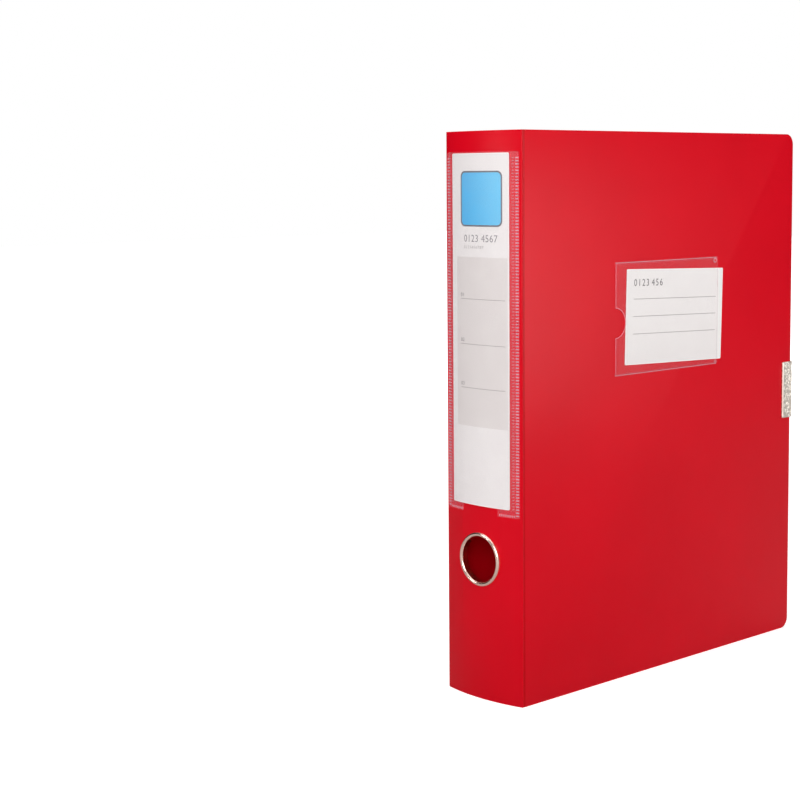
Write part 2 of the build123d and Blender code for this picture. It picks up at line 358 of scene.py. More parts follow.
@dataclass(frozen=True)
class ClearFilm(Finish):
    """Thin cast polypropylene film: nearly invisible face on, with a faint milky veil.

    Attributes:
        veil: How much of what lies behind the film is hidden, seen face on.
        tint: Hex colour of the veil.
        roughness: Gloss of the film.
        ripple: Size of the cockles that handling leaves.
        fall_off: How fast the painted reflection of a glancing look fades towards a square one.
    """

    veil: float
    tint: str
    roughness: float = 0.16
    ripple: float = 22 * MM
    fall_off: float = 6.0

    def shade(self, tree: Tree, place: Socket) -> Socket:
        """Build the nodes; see Finish.shade."""
        cockles = bump(tree, noise_at(tree, place, self.ripple, 1.0), 0.6, 0.25 * MM)
        # A glancing look meets more gloss, from either side of the film; it is painted as more of
        # the film's pale tint, a painted reflection
        glance = add_node(
            tree, "ShaderNodeLayerWeight", values={"Blend": 0.5}, links={"Normal": cockles}
        )
        gloss = calculate(tree, "POWER", glance.outputs["Facing"], self.fall_off)
        haze = noise_at(tree, place, 6 * MM, 4.0)
        veil = spread(tree, haze, self.veil * 0.8, self.veil * 1.2)
        film = {"Base Color": linear(self.tint), "Roughness": self.roughness, "IOR": 1.49}
        hidden = calculate(tree, "ADD", gloss, veil)
        return principled(tree, film, Alpha=hidden, Normal=cockles)


@dataclass(frozen=True)
class CardStock(Finish):
    """Smooth printed card: white clay-coated board with a faint fibre mottle.

    Attributes:
        white: Hex colour of the brighter fibres.
        shade_white: Hex colour of the duller ones.
        fibre: Size of the fibre clumps, drawn coarser than the real 0.2 mm so that they show.
    """

    white: str = "E1DFDD"
    shade_white: str = "DCDAD8"
    fibre: float = 0.7 * MM

    def shade(self, tree: Tree, place: Socket) -> Socket:
        """Build the nodes; see Finish.shade."""
        fibres = noise_at(tree, place, self.fibre, 4.0)
        return principled(
            tree,
            {"IOR": 1.48},
            Base_Color=mottle(tree, fibres, self.shade_white, self.white),
            Roughness=spread(tree, noise_at(tree, place, 9 * MM, 2.0), 0.46, 0.56),
            Normal=bump(tree, fibres, 0.15, 0.01 * MM),
        )


@dataclass(frozen=True)
class Ink(Finish):
    """Offset ink on coated card, a little uneven where the board took less of it.

    Attributes:
        full: Hex colour of full ink.
        thin: Hex colour where the ink lies thinner.
    """

    full: str
    thin: str

    def shade(self, tree: Tree, place: Socket) -> Socket:
        """Build the nodes; see Finish.shade."""
        takes = noise_at(tree, place, 0.5 * MM, 3.0)
        return principled(
            tree,
            {"IOR": 1.50},
            Base_Color=mottle(tree, takes, self.full, self.thin),
            Roughness=spread(tree, takes, 0.36, 0.48),
        )


@dataclass(frozen=True)
class FadedInk(Finish):
    """Printed tint that fades across the label, from a deep blue to a pale one.

    Attributes:
        deep: Hex colour on the deep side.
        pale: Hex colour on the pale side.
        start: Y where the fade starts.
        end: Y where it ends.
        floor: Z of the tint's lower edge.
        height: Height of the tint.
    """

    deep: str
    pale: str
    start: float
    end: float
    floor: float
    height: float

    def shade(self, tree: Tree, place: Socket) -> Socket:
        """Build the nodes; see Finish.shade."""
        axes = add_node(tree, "ShaderNodeSeparateXYZ", links={"Vector": place})
        across = add_node(
            tree,
            "ShaderNodeMapRange",
            values={"From Min": self.start, "From Max": self.end, "To Min": 0.0, "To Max": 0.85},
            links={"Value": axes.outputs["Y"]},
        )
        up = add_node(
            tree,
            "ShaderNodeMapRange",
            values={"From Min": self.floor, "From Max": self.floor + self.height, "To Max": 0.15},
            links={"Value": axes.outputs["Z"]},
        )
        both = calculate(tree, "ADD", across.outputs["Result"], up.outputs["Result"])
        return principled(
            tree,
            {"IOR": 1.50},
            Base_Color=blend_colours(tree, both, self.deep, self.pale),
            Roughness=spread(tree, noise_at(tree, place, 0.6 * MM, 3.0), 0.30, 0.42),
        )


@dataclass(frozen=True)
class NickelPlate(Finish):
    """Bright nickel plate over stamped steel, with fine polishing marks.

    Attributes:
        colour: Hex colour of the metal, a warm white whose pink cast is a painted reflection of
            the red sheet.
        shadow: Hex colour where the plate is thinner.
        roughness: Gloss of the plate.
    """

    colour: str = "FFDFD0"
    shadow: str = "FAD4C4"
    roughness: float = 0.2

    def shade(self, tree: Tree, place: Socket) -> Socket:
        """Build the nodes; see Finish.shade."""
        marks = noise_at(tree, place, 2.2 * MM, 4.0)
        return principled(
            tree,
            {"Metallic": 1.0},
            Base_Color=mottle(tree, noise_at(tree, place, 6 * MM), self.shadow, self.colour),
            Roughness=spread(tree, marks, self.roughness - 0.02, self.roughness + 0.03),
            Normal=bump(tree, marks, 0.05, 0.01 * MM),
        )


@dataclass(frozen=True)
class EmbossedSteel(Finish):
    """Thin steel strip with a rolled pebble emboss under dull nickel.

    The hollows hold a darker patina and the raised pebbles are rubbed bright.

    Attributes:
        hollow: Hex colour in the hollows.
        raised: Hex colour on the pebbles.
        pebble: Size of a pebble.
        roughness: Middle of the roughness range.
    """

    hollow: str = "B8AEA3"
    raised: str = "FFF8EE"
    pebble: float = 1.0 * MM
    roughness: float = 0.36

    def shade(self, tree: Tree, place: Socket) -> Socket:
        """Build the nodes; see Finish.shade."""
        pebbles = add_node(
            tree,
            "ShaderNodeTexVoronoi",
            values={"Scale": 0.8 / self.pebble, "Randomness": 1.0},
            links={"Vector": place},
            feature="SMOOTH_F1",
        )
        grit = noise_at(tree, place, 0.4 * MM, 3.0)
        relief = add_node(
            tree,
            "ShaderNodeMath",
            values={1: 0.35},
            links={0: grit, 2: pebbles.outputs["Distance"]},
            operation="MULTIPLY_ADD",
        )
        rubbed = spread(tree, relief.outputs["Value"], 1.1, 0.0)
        return principled(
            tree,
            {"Metallic": 1.0},
            Base_Color=blend_colours(tree, rubbed, self.hollow, self.raised),
            Roughness=spread(tree, grit, self.roughness - 0.08, self.roughness + 0.1),
            Normal=bump(tree, relief.outputs["Value"], 0.35, 0.06 * MM),
        )


@dataclass(frozen=True)
class GroundSteel(Finish):
    """Mild steel ground along its length, under thin zinc.

    Attributes:
        light: Hex colour of the ridges.
        dark: Hex colour of the scratches.
    """

    light: str = "B9B7B3"
    dark: str = "8C8A87"

    def shade(self, tree: Tree, place: Socket) -> Socket:
        """Build the nodes; see Finish.shade."""
        stretched = add_node(
            tree, "ShaderNodeMapping", values={"Scale": (6.0, 6.0, 0.25)}, links={"Vector": place}
        )
        lines = noise_at(tree, stretched.outputs[0], 1.2 * MM, 4.0)
        return principled(
            tree,
            {"Metallic": 1.0},
            Base_Color=mottle(tree, lines, self.dark, self.light),
            Roughness=spread(tree, lines, 0.28, 0.42),
            Normal=bump(tree, lines, 0.25, 0.01 * MM),
        )


@dataclass(frozen=True)
class SparkedSurface(Finish):
    """Hard matt surface with a fine even grain: moulded ABS or sintered ferrite.

    Attributes:
        light: Hex colour of the high spots.
        dark: Hex colour of the low ones.
        grain: Size of the grain.
        roughness: Middle of the roughness range.
    """

    light: str
    dark: str
    grain: float = 0.5 * MM
    roughness: float = 0.5

    def shade(self, tree: Tree, place: Socket) -> Socket:
        """Build the nodes; see Finish.shade."""
        grain = noise_at(tree, place, self.grain, 3.0)
        return principled(
            tree,
            {"IOR": 1.5},
            Base_Color=mottle(tree, grain, self.dark, self.light),
            Roughness=spread(tree, grain, self.roughness - 0.05, self.roughness + 0.05),
            Normal=bump(tree, grain, 0.2, 0.03 * MM),
        )


@dataclass(frozen=True)
class StudioFloor(Finish):
    """Pale floor that is lit up far from the box, so that it meets the background without a line.

    Attributes:
        seen: Hex colour that the camera sees.
        bounced: Hex colour that the box is lit by, darker, which keeps its reds pure.
        near: Glow at the box.
        far: Glow out at the background.
    """

    seen: str = "F5F5F5"
    bounced: str = "B2B2B2"
    near: float = 0.42
    far: float = 1.0

    def shade(self, tree: Tree, place: Socket) -> Socket:
        """Build the nodes; see Finish.shade."""
        sight = add_node(tree, "ShaderNodeLightPath").outputs["Is Camera Ray"]
        reach = add_node(tree, "ShaderNodeVectorMath", links={0: place}, operation="LENGTH")
        glow = add_node(
            tree,
            "ShaderNodeMapRange",
            values={"From Min": 0.35, "From Max": 1.6, "To Min": self.near, "To Max": self.far},
            links={"Value": reach.outputs["Value"]},
            interpolation_type="SMOOTHSTEP",
        )
        return principled(
            tree,
            {"Roughness": 0.8, "Emission Color": linear("FFFFFF")},
            Base_Color=blend_colours(tree, sight, self.bounced, self.seen),
            Emission_Strength=calculate(tree, "MULTIPLY", glow.outputs["Result"], sight),
        )


SHEET = PolypropyleneSheet("extruded_polypropylene_sheet")
# The fold is pressed thin, so more light passes and the red is purer; its darker red is painted
# shade in the crease
SHADED_FOLD_WEB = PolypropyleneSheet(
    "pressed_fold_with_painted_shade", light="D00416", deep="C80314", roughness=0.3, glow=0.15
)
FILM = ClearFilm("cast_polypropylene_film", veil=0.02, tint="FBDCE4")
# Cards sliding in and out leave the spine's film hazier
HAZY_FILM = ClearFilm("hazy_polypropylene_film", veil=0.045, tint="F6DEE8")
# Welding presses the film onto the red sheet, so it looks tinted there, and frosts it at the bars
PRESSED_FILM = ClearFilm("pressed_polypropylene_film", veil=0.065, tint="FFB4C6", roughness=0.22)
WELD = ClearFilm("frosted_weld", veil=0.36, tint="FFC0CE", roughness=0.3)
# A cut edge gathers the light that runs inside the film; its brighter, more opaque pink is a
# painted highlight
FILM_EDGE_HIGHLIGHT = ClearFilm("film_edge_painted_highlight", veil=0.32, tint="FF9CAE", roughness=0.25)
CARD = CardStock("coated_label_card")
# The card's rim is a little whiter than its face: a painted highlight along the cut edge
CARD_EDGE_HIGHLIGHT = CardStock("card_rim_painted_highlight", white="F0EFEE", shade_white="EBEAE9")
PANEL_TINT = Ink("warm_grey_panel_tint", "D0CCC9", "D4D0CD")
RULE_INK = Ink("grey_rule_ink", "8C8886", "9A9694")
TEXT_INK = Ink("grey_text_ink", "777577", "8A888B")
CAPTION_INK = Ink("black_caption_ink", "484648", "5B595B")
FRAME_INK = Ink("slate_window_ink", "4F565D", "636A71")
# The nickel's pink cast is a painted reflection of the red sheet around it
NICKEL = NickelPlate("bright_nickel_plate")
CLIP_STEEL = EmbossedSteel("embossed_strip_steel")
# The strip's plain end band is lighter, partly a painted highlight on its rolled edge
CLIP_END_HIGHLIGHT = NickelPlate("strip_end_painted_highlight", colour="FFF2E6", shadow="F4E6DA", roughness=0.34)
POLE_STEEL = GroundSteel("ground_pole_steel")
CASE_PLASTIC = SparkedSurface("moulded_abs_case", "9E0A14", "8C0710", roughness=0.42)
FLOOR = StudioFloor("matt_white_studio_floor")
FERRITE = SparkedSurface("sintered_ferrite", "2E2E31", "19191B", grain=0.3 * MM, roughness=0.6)


# ---- Mesh tools ---------------------------------------------------------------------------------


def add_slab(bm: BMesh, low: Sequence[float], high: Sequence[float]) -> list:
    """Add a box between two corners.

    Args:
        bm: The mesh that gets the box.
        low: Lowest corner.
        high: Highest corner.

    Returns:
        The box's vertices.
    """
    middle = (Vector(low) + Vector(high)) / 2
    size = Vector(high) - Vector(low)
    place = Matrix.Translation(middle) @ Matrix.Diagonal((*size, 1.0))
    return bmesh.ops.create_cube(bm, size=1.0, matrix=place)["verts"]


def edges_where(
    bm: BMesh, test: Callable[[bmesh.types.BMEdge], bool]
) -> list[bmesh.types.BMEdge]:
    """The edges that pass a test."""
    return [edge for edge in bm.edges if test(edge)]


def is_rim(edge: bmesh.types.BMEdge) -> bool:
    """Whether an edge lies round the outside of a flat shape that faces along Y."""
    return edge.calc_face_angle(0.0) > 1.0 and not runs_along(edge, 1)


def runs_along(edge: bmesh.types.BMEdge, axis: int) -> bool:
    """Whether an edge runs along one of the three axes."""
    run = edge.verts[1].co - edge.verts[0].co
    return abs(run[axis]) > 0.999 * run.length


def round_edges(
    bm: BMesh, edges: Iterable[bmesh.types.BMEdge], width: float, segments: int = 2
) -> None:
    """Round edges over.

    Args:
        bm: The mesh.
        edges: The edges to round.
        width: Distance from the old edge to where the rounding starts.
        segments: Faces across the rounding.
    """
    bmesh.ops.bevel(
        bm,
        geom=list(edges),
        offset=width,
        offset_type="OFFSET",
        segments=segments,
        profile=0.5,
        affect="EDGES",
        material=-1,
        clamp_overlap=True,
    )


def slice_along(bm: BMesh, axis: int, low: float, high: float, pitch: float) -> None:
    """Cut a mesh into strips, so that it can bend or change along an axis.

    Args:
        bm: The mesh.
        axis: The axis that the cuts step along.
        low: First end of the mesh.
        high: Other end.
        pitch: Greatest width of a strip.
    """
    count = max(2, round((high - low) / pitch))
    for step in range(1, count):
        cut_at(bm, axis, low + (high - low) * step / count)


def cut_at(bm: BMesh, axis: int, place: float) -> None:
    """Cut every face that crosses a plane square to an axis."""
    spot = Vector((0.0, 0.0, 0.0))
    spot[axis] = place
    normal = Vector((0.0, 0.0, 0.0))
    normal[axis] = 1.0
    everything = bm.verts[:] + bm.edges[:] + bm.faces[:]
    bmesh.ops.bisect_plane(bm, geom=everything, dist=0.1 * TINY, plane_co=spot, plane_no=normal)


def place_object(name: str, data: bpy.types.ID) -> bpy.types.Object:
    """Put an object in the scene."""
    holder = bpy.data.objects.new(name, data)
    bpy.context.scene.collection.objects.link(holder)
    return holder


def mesh_object(name: str, bm: BMesh) -> bpy.types.Object:
    """Put a bmesh in the scene and free it."""
    mesh = bpy.data.meshes.new(name)
    bm.to_mesh(mesh)
    bm.free()
    return place_object(name, mesh)


def final_shape(holder: bpy.types.Object) -> BMesh:
    """An object's shape after its modifiers, as a new mesh."""
    graph = bpy.context.evaluated_depsgraph_get()
    mesh = bpy.data.meshes.new_from_object(holder.evaluated_get(graph))
    bm = bmesh.new()
    bm.from_mesh(mesh)
    bpy.data.meshes.remove(mesh)
    return bm


def facing_out(place: Sequence[float]) -> Matrix:
    """A placement that turns a shape's Z axis along X."""
    return Matrix.Translation(place) @ Matrix.Rotation(pi / 2, 4, "Y")


def new_verts(made: Mapping[str, Any], key: str = "geom") -> list[bmesh.types.BMVert]:
    """The vertices among what a mesh operator made."""
    return [item for item in made[key] if isinstance(item, bmesh.types.BMVert)]


def paint(faces: Iterable[bmesh.types.BMFace], number: int) -> None:
    """Give faces a material number."""
    for face in faces:
        face.material_index = number


def add_ring(
    bm: BMesh, place: Sequence[float], radii: tuple[float, float], segments: int
) -> list[bmesh.types.BMFace]:
    """Add a flat ring that is square to X.

    Args:
        bm: The mesh that gets the ring.
        place: Its centre.
        radii: Its two radii.
        segments: Faces round it.

    Returns:
        The ring's faces.
    """
    loops: list[bmesh.types.BMEdge] = []
    for reach in radii:
        made = bmesh.ops.create_circle(
            bm, segments=segments, radius=reach, matrix=facing_out(place)
        )["verts"]
        loops += list({edge for vert in made for edge in vert.link_edges})
    return bmesh.ops.bridge_loops(bm, edges=loops)["faces"]


def thicken(bm: BMesh, faces: list[bmesh.types.BMFace], depth: float) -> None:
    """Raise flat faces along X by a depth."""
    made = bmesh.ops.extrude_face_region(bm, geom=faces)
    bmesh.ops.translate(bm, verts=new_verts(made), vec=Vector((depth, 0.0, 0.0)))


def punch(bm: BMesh, centre: Sequence[float], radius: float, segments: int) -> BMesh:
    """Punch a round hole along X.

    Args:
        bm: The sheet that is punched; it is freed.
        centre: The hole's centre.
        radius: Its radius.
        segments: Faces round it.

    Returns:
        A new mesh of what is left.
    """
    cutter = bmesh.new()
    bmesh.ops.create_cone(
        cutter,
        cap_ends=True,
        segments=segments,
        radius1=radius,
        radius2=radius,
        depth=PUNCH_DEPTH,
        matrix=facing_out(centre),
    )
    return cut_away(bm, cutter)


def cut_away(bm: BMesh, cutter: BMesh) -> BMesh:
    """Take one closed shape out of another.

    Args:
        bm: The shape that is cut; it is freed.
        cutter: The shape that is taken out; it is freed.

    Returns:
        A new mesh of what is left.
    """
    body, tool = mesh_object("cut_body", bm), mesh_object("cut_tool", cutter)
    modifier = body.modifiers.new("cut", "BOOLEAN")
    modifier.operation = "DIFFERENCE"
    modifier.solver = "EXACT"
    modifier.object = tool
    left = final_shape(body)
    for holder in (body, tool):
        spent = holder.data
        bpy.data.objects.remove(holder)
        bpy.data.meshes.remove(spent)
    return left


def ease(value: float, low: float, high: float) -> float:
    """Smooth step from 0 at low to 1 at high."""
    share = min(max((value - low) / (high - low), 0.0), 1.0)
    return share * share * (3 - 2 * share)


def make_piece(
    name: str,
    bm: BMesh,
    finishes: Sequence[Finish],
    body: Body | None,
    replaces: Sequence[str] = (),
) -> bpy.types.Object:
    """Turn a bmesh into a finished piece of the object.

    Args:
        name: The piece's name.
        bm: Its mesh, in the row frame; it is freed.
        finishes: Finishes in the order of the faces' material numbers.
        body: The body that it rides on, or None for a piece that rides on no body.
        replaces: CAD nodes that it stands for.

    Returns:
        The new object.
    """
    bmesh.ops.remove_doubles(bm, verts=bm.verts, dist=TINY)
    bmesh.ops.recalc_face_normals(bm, faces=bm.faces)
    for face in bm.faces:
        face.smooth = True
    for edge in bm.edges:
        edge.smooth = edge.calc_face_angle(pi) < SHARP_EDGE
    piece = mesh_object(name, bm)
    for finish in finishes:
        piece.data.materials.append(finish.material())
    if body is not None:
        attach(piece, body.value)
    if replaces:
        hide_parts(*replaces)
    carrier = body.value if body else "a fold"
    LOG.info("%s: %d faces on %s", name, len(piece.data.polygons), carrier)
    return piece


def dress(node: str, finish: Finish) -> None:
    """Give a CAD node its finish.

    Args:
        node: The node's name.
        finish: Its new finish.
    """
    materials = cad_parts[node].data.materials
    materials.clear()
    materials.append(finish.material())
    LOG.info("%s: dressed in %s", node, finish.name)


def digits_mesh(text: str, height: float, spacing: float = 1.0) -> BMesh:
    """Flat numerals in the XY plane, with their lower left corner at the origin.

    Args:
        text: The numerals.
        height: Height of a numeral.
        spacing: Room between numerals, as a share of the usual.

    Returns:
        A new mesh of flat faces.
    """
    curve = bpy.data.curves.new("numerals", "FONT")
    curve.body = text
    curve.space_character = spacing
    curve.resolution_u = 3
    holder = place_object("numerals", curve)
    bm = final_shape(holder)
    bpy.data.objects.remove(holder)
    bpy.data.curves.remove(curve)
    low = Vector([min(v.co[i] for v in bm.verts) for i in range(3)])
    tall = max(v.co.y for v in bm.verts) - low.y
    bmesh.ops.translate(bm, verts=bm.verts, vec=-low)
    bmesh.ops.scale(bm, verts=bm.verts, vec=Vector((height / tall,) * 3))
    return bm


def join_into(target: BMesh, source: BMesh, number: int) -> None:
    """Copy one bmesh into another and free it.

    Args:
        target: The mesh that grows.
        source: The mesh that is copied in.
        number: Material number that the copied faces get.
    """
    paint(source.faces, number)
    carrier = bpy.data.meshes.new("carrier")
    source.to_mesh(carrier)
    source.free()
    target.from_mesh(carrier)
    bpy.data.meshes.remove(carrier)


# ---- Surfaces that the flat pieces are laid on --------------------------------------------------


@dataclass(frozen=True)
class SpineArc:
    """The bowed outer face of the spine.

    Attributes:
        sheet: Thickness of the sheet.
        centre: X and Y of the arc's centre.
        radius: Radius of the outer face.
        half: Length along the outer face from the crest to a fold.
    """

    sheet: float
    centre: tuple[float, float]
    radius: float
    half: float

    @classmethod
    def from_frame(cls) -> "SpineArc":
        """Work the arc out from the spine and cover nodes."""
        low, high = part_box("spine_panel")
        cover_low, cover_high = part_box("front_cover")
        sheet = cover_high[1] - cover_low[1]
        bulge = high[0] - low[0] - sheet
        half_chord = (high[1] - low[1] - sheet) / 2
        middle_radius = (half_chord**2 + bulge**2) / (2 * bulge)
        radius = middle_radius + sheet / 2
        centre = (low[0] + radius, (low[1] + high[1]) / 2)
        return cls(sheet, centre, radius, radius * asin(half_chord / middle_radius))

    def across(self, y: float) -> float:
        """Length along the outer face from the crest to a place given by its Y."""
        return self.radius * asin((y - self.centre[1]) / self.radius)

    def lay(self, bm: BMesh) -> None:
        """Bend a flat layout round the spine.

        Args:
            bm: A mesh whose X is the height above the outer face, Y the length from the crest
                and Z the height above the floor.
        """
        for vert in bm.verts:
            turn = vert.co[ACROSS] / self.radius
            reach = self.radius + vert.co[OUT]
            vert.co.x = self.centre[0] - reach * cos(turn)
            vert.co.y = self.centre[1] + reach * sin(turn)


@dataclass(frozen=True)
class CoverFace:
    """The flat outer face of the front cover.

    Attributes:
        y: The face's place along Y.
    """

    y: float

    def lay(self, bm: BMesh) -> None:
        """Turn a flat layout into place.

        Args:
            bm: A mesh whose X is the height above the face, Y the place along the object's X
                axis and Z the height above the floor.
        """
        for vert in bm.verts:
            out, across = vert.co[OUT], vert.co[ACROSS]
            vert.co.x = across
            vert.co.y = self.y - out


# ---- The wrap -----------------------------------------------------------------------------------


@dataclass
class Wrap:
    """Front cover, spine and back panel, joined by two pressed folds.

    Attributes:
        arc: The spine's arc.
        corner_radius: Rounded corners at the fore-edge.
        edge_round: Rounding that the cutting die leaves on every edge.
        strip: Width of the strips that the bowed spine is cut into.
        crease: Width of a panel's pressed border along its fold, which takes the fold's darker red
            as painted crease shade.
        crease_round: Rounding of that border.
        web: Thickness of the sheet in a fold.
        web_reach: How far a fold's web runs into the sheets on both sides.
        web_strip: Width of the strips that a web is cut into.
        hole_margin: The spine's hole is smaller than the ring by this on each side.
    """

    arc: SpineArc
    corner_radius: float = 6.5 * MM
    edge_round: float = 0.16 * MM
    strip: float = 1.5 * MM
    crease: float = 0.9 * MM
    crease_round: float = 0.42 * MM
    web: float = 0.95 * MM
    web_reach: float = 0.35 * MM
    web_strip: float = 0.2 * MM
    hole_margin: float = 1.0 * MM

    def panel(self, name: str, node: str, body: Body) -> None:
        """Build a flat panel.

        Args:
            name: The piece's name.
            node: The CAD node that it stands for.
            body: The body that it rides on.
        """
        low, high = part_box(node)
        middle = (low[0] + high[0]) / 2
        bm = bmesh.new()
        add_slab(bm, low, high)
        corners = edges_where(bm, lambda e: runs_along(e, 1) and e.verts[0].co.x > middle)
        round_edges(bm, corners, self.corner_radius, 12)
        folds = edges_where(bm, lambda e: runs_along(e, UP) and e.verts[0].co.x < middle)
        round_edges(bm, folds, self.crease_round, 3)
        rims = edges_where(
            bm, lambda e: is_rim(e) and e.verts[0].co.x > low[0] + self.crease_round
        )
        round_edges(bm, rims, self.edge_round)
        # The border along the fold takes the fold's darker red: painted crease shade
        cut_at(bm, 0, low[0] + self.crease)
        for face in bm.faces:
            if face.calc_center_median().x < low[0] + self.crease:
                face.material_index = 1
        make_piece(name, bm, [SHEET, SHADED_FOLD_WEB], body, [node])

    def spine(self) -> None:
        """Build the bowed spine with its round finger hole."""
        low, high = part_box("spine_panel")
        ring_low, ring_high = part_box("finger_ring_eyelet")
        hole_radius = (ring_high[2] - ring_low[2]) / 2 - self.hole_margin
        bead = self.arc.half + self.arc.sheet / 2
        bm = bmesh.new()
        add_slab(bm, (-self.arc.sheet, -bead, low[2]), (0.0, bead, high[2]))
        slice_along(bm, ACROSS, -bead, bead, self.strip)
        bm = punch(bm, (0.0, 0.0, (ring_low[2] + ring_high[2]) / 2), hole_radius, 96)
        ends = edges_where(
            bm, lambda e: runs_along(e, UP) and abs(abs(e.verts[0].co[ACROSS]) - bead) < TINY
        )
        round_edges(bm, ends, self.arc.sheet * 0.45, 4)
        rims = edges_where(
            bm,
            lambda e: e.calc_face_angle(0.0) > 1.0
            and any(
                abs(e.verts[0].co[UP] - z) < TINY and abs(e.verts[1].co[UP] - z) < TINY
                for z in (low[2], high[2])
            ),
        )
        round_edges(bm, rims, self.edge_round)
        self.arc.lay(bm)
        make_piece("spine_sheet", bm, [SHEET], Body.SPINE, ["spine_panel"])

    def fold_web(self, name: str, panel_node: str, panel_body: Body) -> None:
        """Build the thin pressed web that joins the spine to a panel.

        Args:
            name: The piece's name.
            panel_node: The panel on the fold's other side.
            panel_body: The body of that panel.
        """
        low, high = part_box(panel_node)
        spine_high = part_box("spine_panel")[1]
        y = (low[1] + high[1]) / 2
        x_fold = spine_high[0] - self.arc.sheet / 2
        x_end = low[0] + self.web_reach
        bm = bmesh.new()
        add_slab(
            bm,
            (x_fold, y - self.web / 2, low[2] + self.edge_round),
            (x_end, y + self.web / 2, high[2] - self.edge_round),
        )
        slice_along(bm, 0, x_fold, x_end, self.web_strip)
        # The web takes the fold's darker red: painted shade in the crease
        piece = make_piece(name, bm, [SHADED_FOLD_WEB], None)
        if panel_body is Body.TRAY:
            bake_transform(piece)
        else:
            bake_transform(piece)

    def build(self) -> None:
        """Build the whole wrap."""
        self.panel("front_cover_sheet", "front_cover", Body.COVER)
        self.panel("back_panel_sheet", "back_panel", Body.TRAY)
        self.spine()
        self.fold_web("cover_fold_web", "front_cover", Body.COVER)
        self.fold_web("back_fold_web", "back_panel", Body.TRAY)


# ---- Tray, catch and metal fittings -------------------------------------------------------------


@dataclass
class Tray:
    """The tray's folded walls with their rivets, and the magnet catch.

    Attributes:
        finishes: The finish of each of its nodes.
    """

    finishes: dict[str, Finish] = field(
        default_factory=lambda: {
            "top_wall": SHEET,
            "bottom_wall": SHEET,
            "fore_edge_wall": SHEET,
            "tray_rivets": NICKEL,
            "tray_rivet_washers": NICKEL,
            "magnet_case": CASE_PLASTIC,
            "magnet_block": FERRITE,
            "pole_plates": POLE_STEEL,
        }
    )

    def build(self) -> None:
        """Dress every node."""
        for node, finish in self.finishes.items():
            dress(node, finish)


@dataclass
class FingerRing:
    """The nickelled eyelet in the spine: a rolled rim, a barrel and a clinched tail.

    Attributes:
        arc: The spine's arc.
        roll: Radius of the rolled rim.
        straight: Straight wall under the roll.
        wall: Wall of the barrel.
        tail_flare: How far the tail spreads past the barrel.
        tail: Thickness of the tail.
        lip: Bevel of the tail's corners.
        sides: Faces round the ring.
    """

    arc: SpineArc
    roll: float = 1.15 * MM
    straight: float = 0.15 * MM
    wall: float = 0.55 * MM
    tail_flare: float = 1.35 * MM
    tail: float = 0.5 * MM
    lip: float = 0.12 * MM
    sides: int = 120

    def section(self, outer: float, depth: float) -> list[Vector]:
        """The ring's half section.

        Args:
            outer: Radius of the rim.
            depth: From the crest of the spine to the tail's inner end.

        Returns:
            Corners of a closed outline: X is the height out of the spine and Z the radius.
        """
        bore = outer - 2 * self.roll
        middle = bore + self.roll
        top = [
            Vector((self.straight + self.roll * sin(t), 0.0, middle + self.roll * cos(t)))
            for t in (pi * step / 14 for step in range(15))
        ]
        skirt = -(self.radius_drop(outer))
        below = [
            Vector((-depth + self.lip, 0.0, bore)),
            Vector((-depth, 0.0, bore + self.lip)),
            Vector((-depth, 0.0, bore + self.wall + self.tail_flare - self.lip)),
            Vector((-depth + self.lip, 0.0, bore + self.wall + self.tail_flare)),
            Vector((-depth + self.tail, 0.0, bore + self.wall + self.tail_flare)),
            Vector((-depth + self.tail, 0.0, bore + self.wall)),
            Vector((skirt, 0.0, bore + self.wall)),
            Vector((skirt, 0.0, outer)),
        ]
        return top + below

    def radius_drop(self, reach: float) -> float:
        """How far the bowed spine falls away from its crest at a distance from the middle."""
        return self.arc.radius - sqrt(self.arc.radius**2 - reach**2)

    def build(self) -> None:
        """Spin the section and fit its skirt to the bowed spine."""
        low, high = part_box("finger_ring_eyelet")
        outer = (high[2] - low[2]) / 2
        crest = self.arc.centre[0] - self.arc.radius
        middle = Vector((crest, self.arc.centre[1], (low[2] + high[2]) / 2))
        outline = self.section(outer, high[0] - crest)
        skirt = outline[-1].x
        bm = bmesh.new()
        ring = [bm.verts.new(Vector((-p.x, p.y, p.z))) for p in outline]
        for first, second in zip(ring, ring[1:] + ring[:1]):
            bm.edges.new((first, second))
        bmesh.ops.spin(
            bm,
            geom=bm.verts[:] + bm.edges[:],
            cent=(0.0, 0.0, 0.0),
            axis=(1.0, 0.0, 0.0),
            angle=2 * pi,
            steps=self.sides,
            use_merge=True,
            use_duplicate=False,
        )
        for vert in bm.verts:
            if abs(vert.co.x + skirt) < TINY:
                vert.co.x = self.radius_drop(vert.co.y)
        bmesh.ops.translate(bm, verts=bm.verts, vec=middle)
        make_piece(
            "finger_ring", bm, [NICKEL], Body.SPINE, ["finger_ring_eyelet"]
        )
        dress("finger_ring_washer", NICKEL)


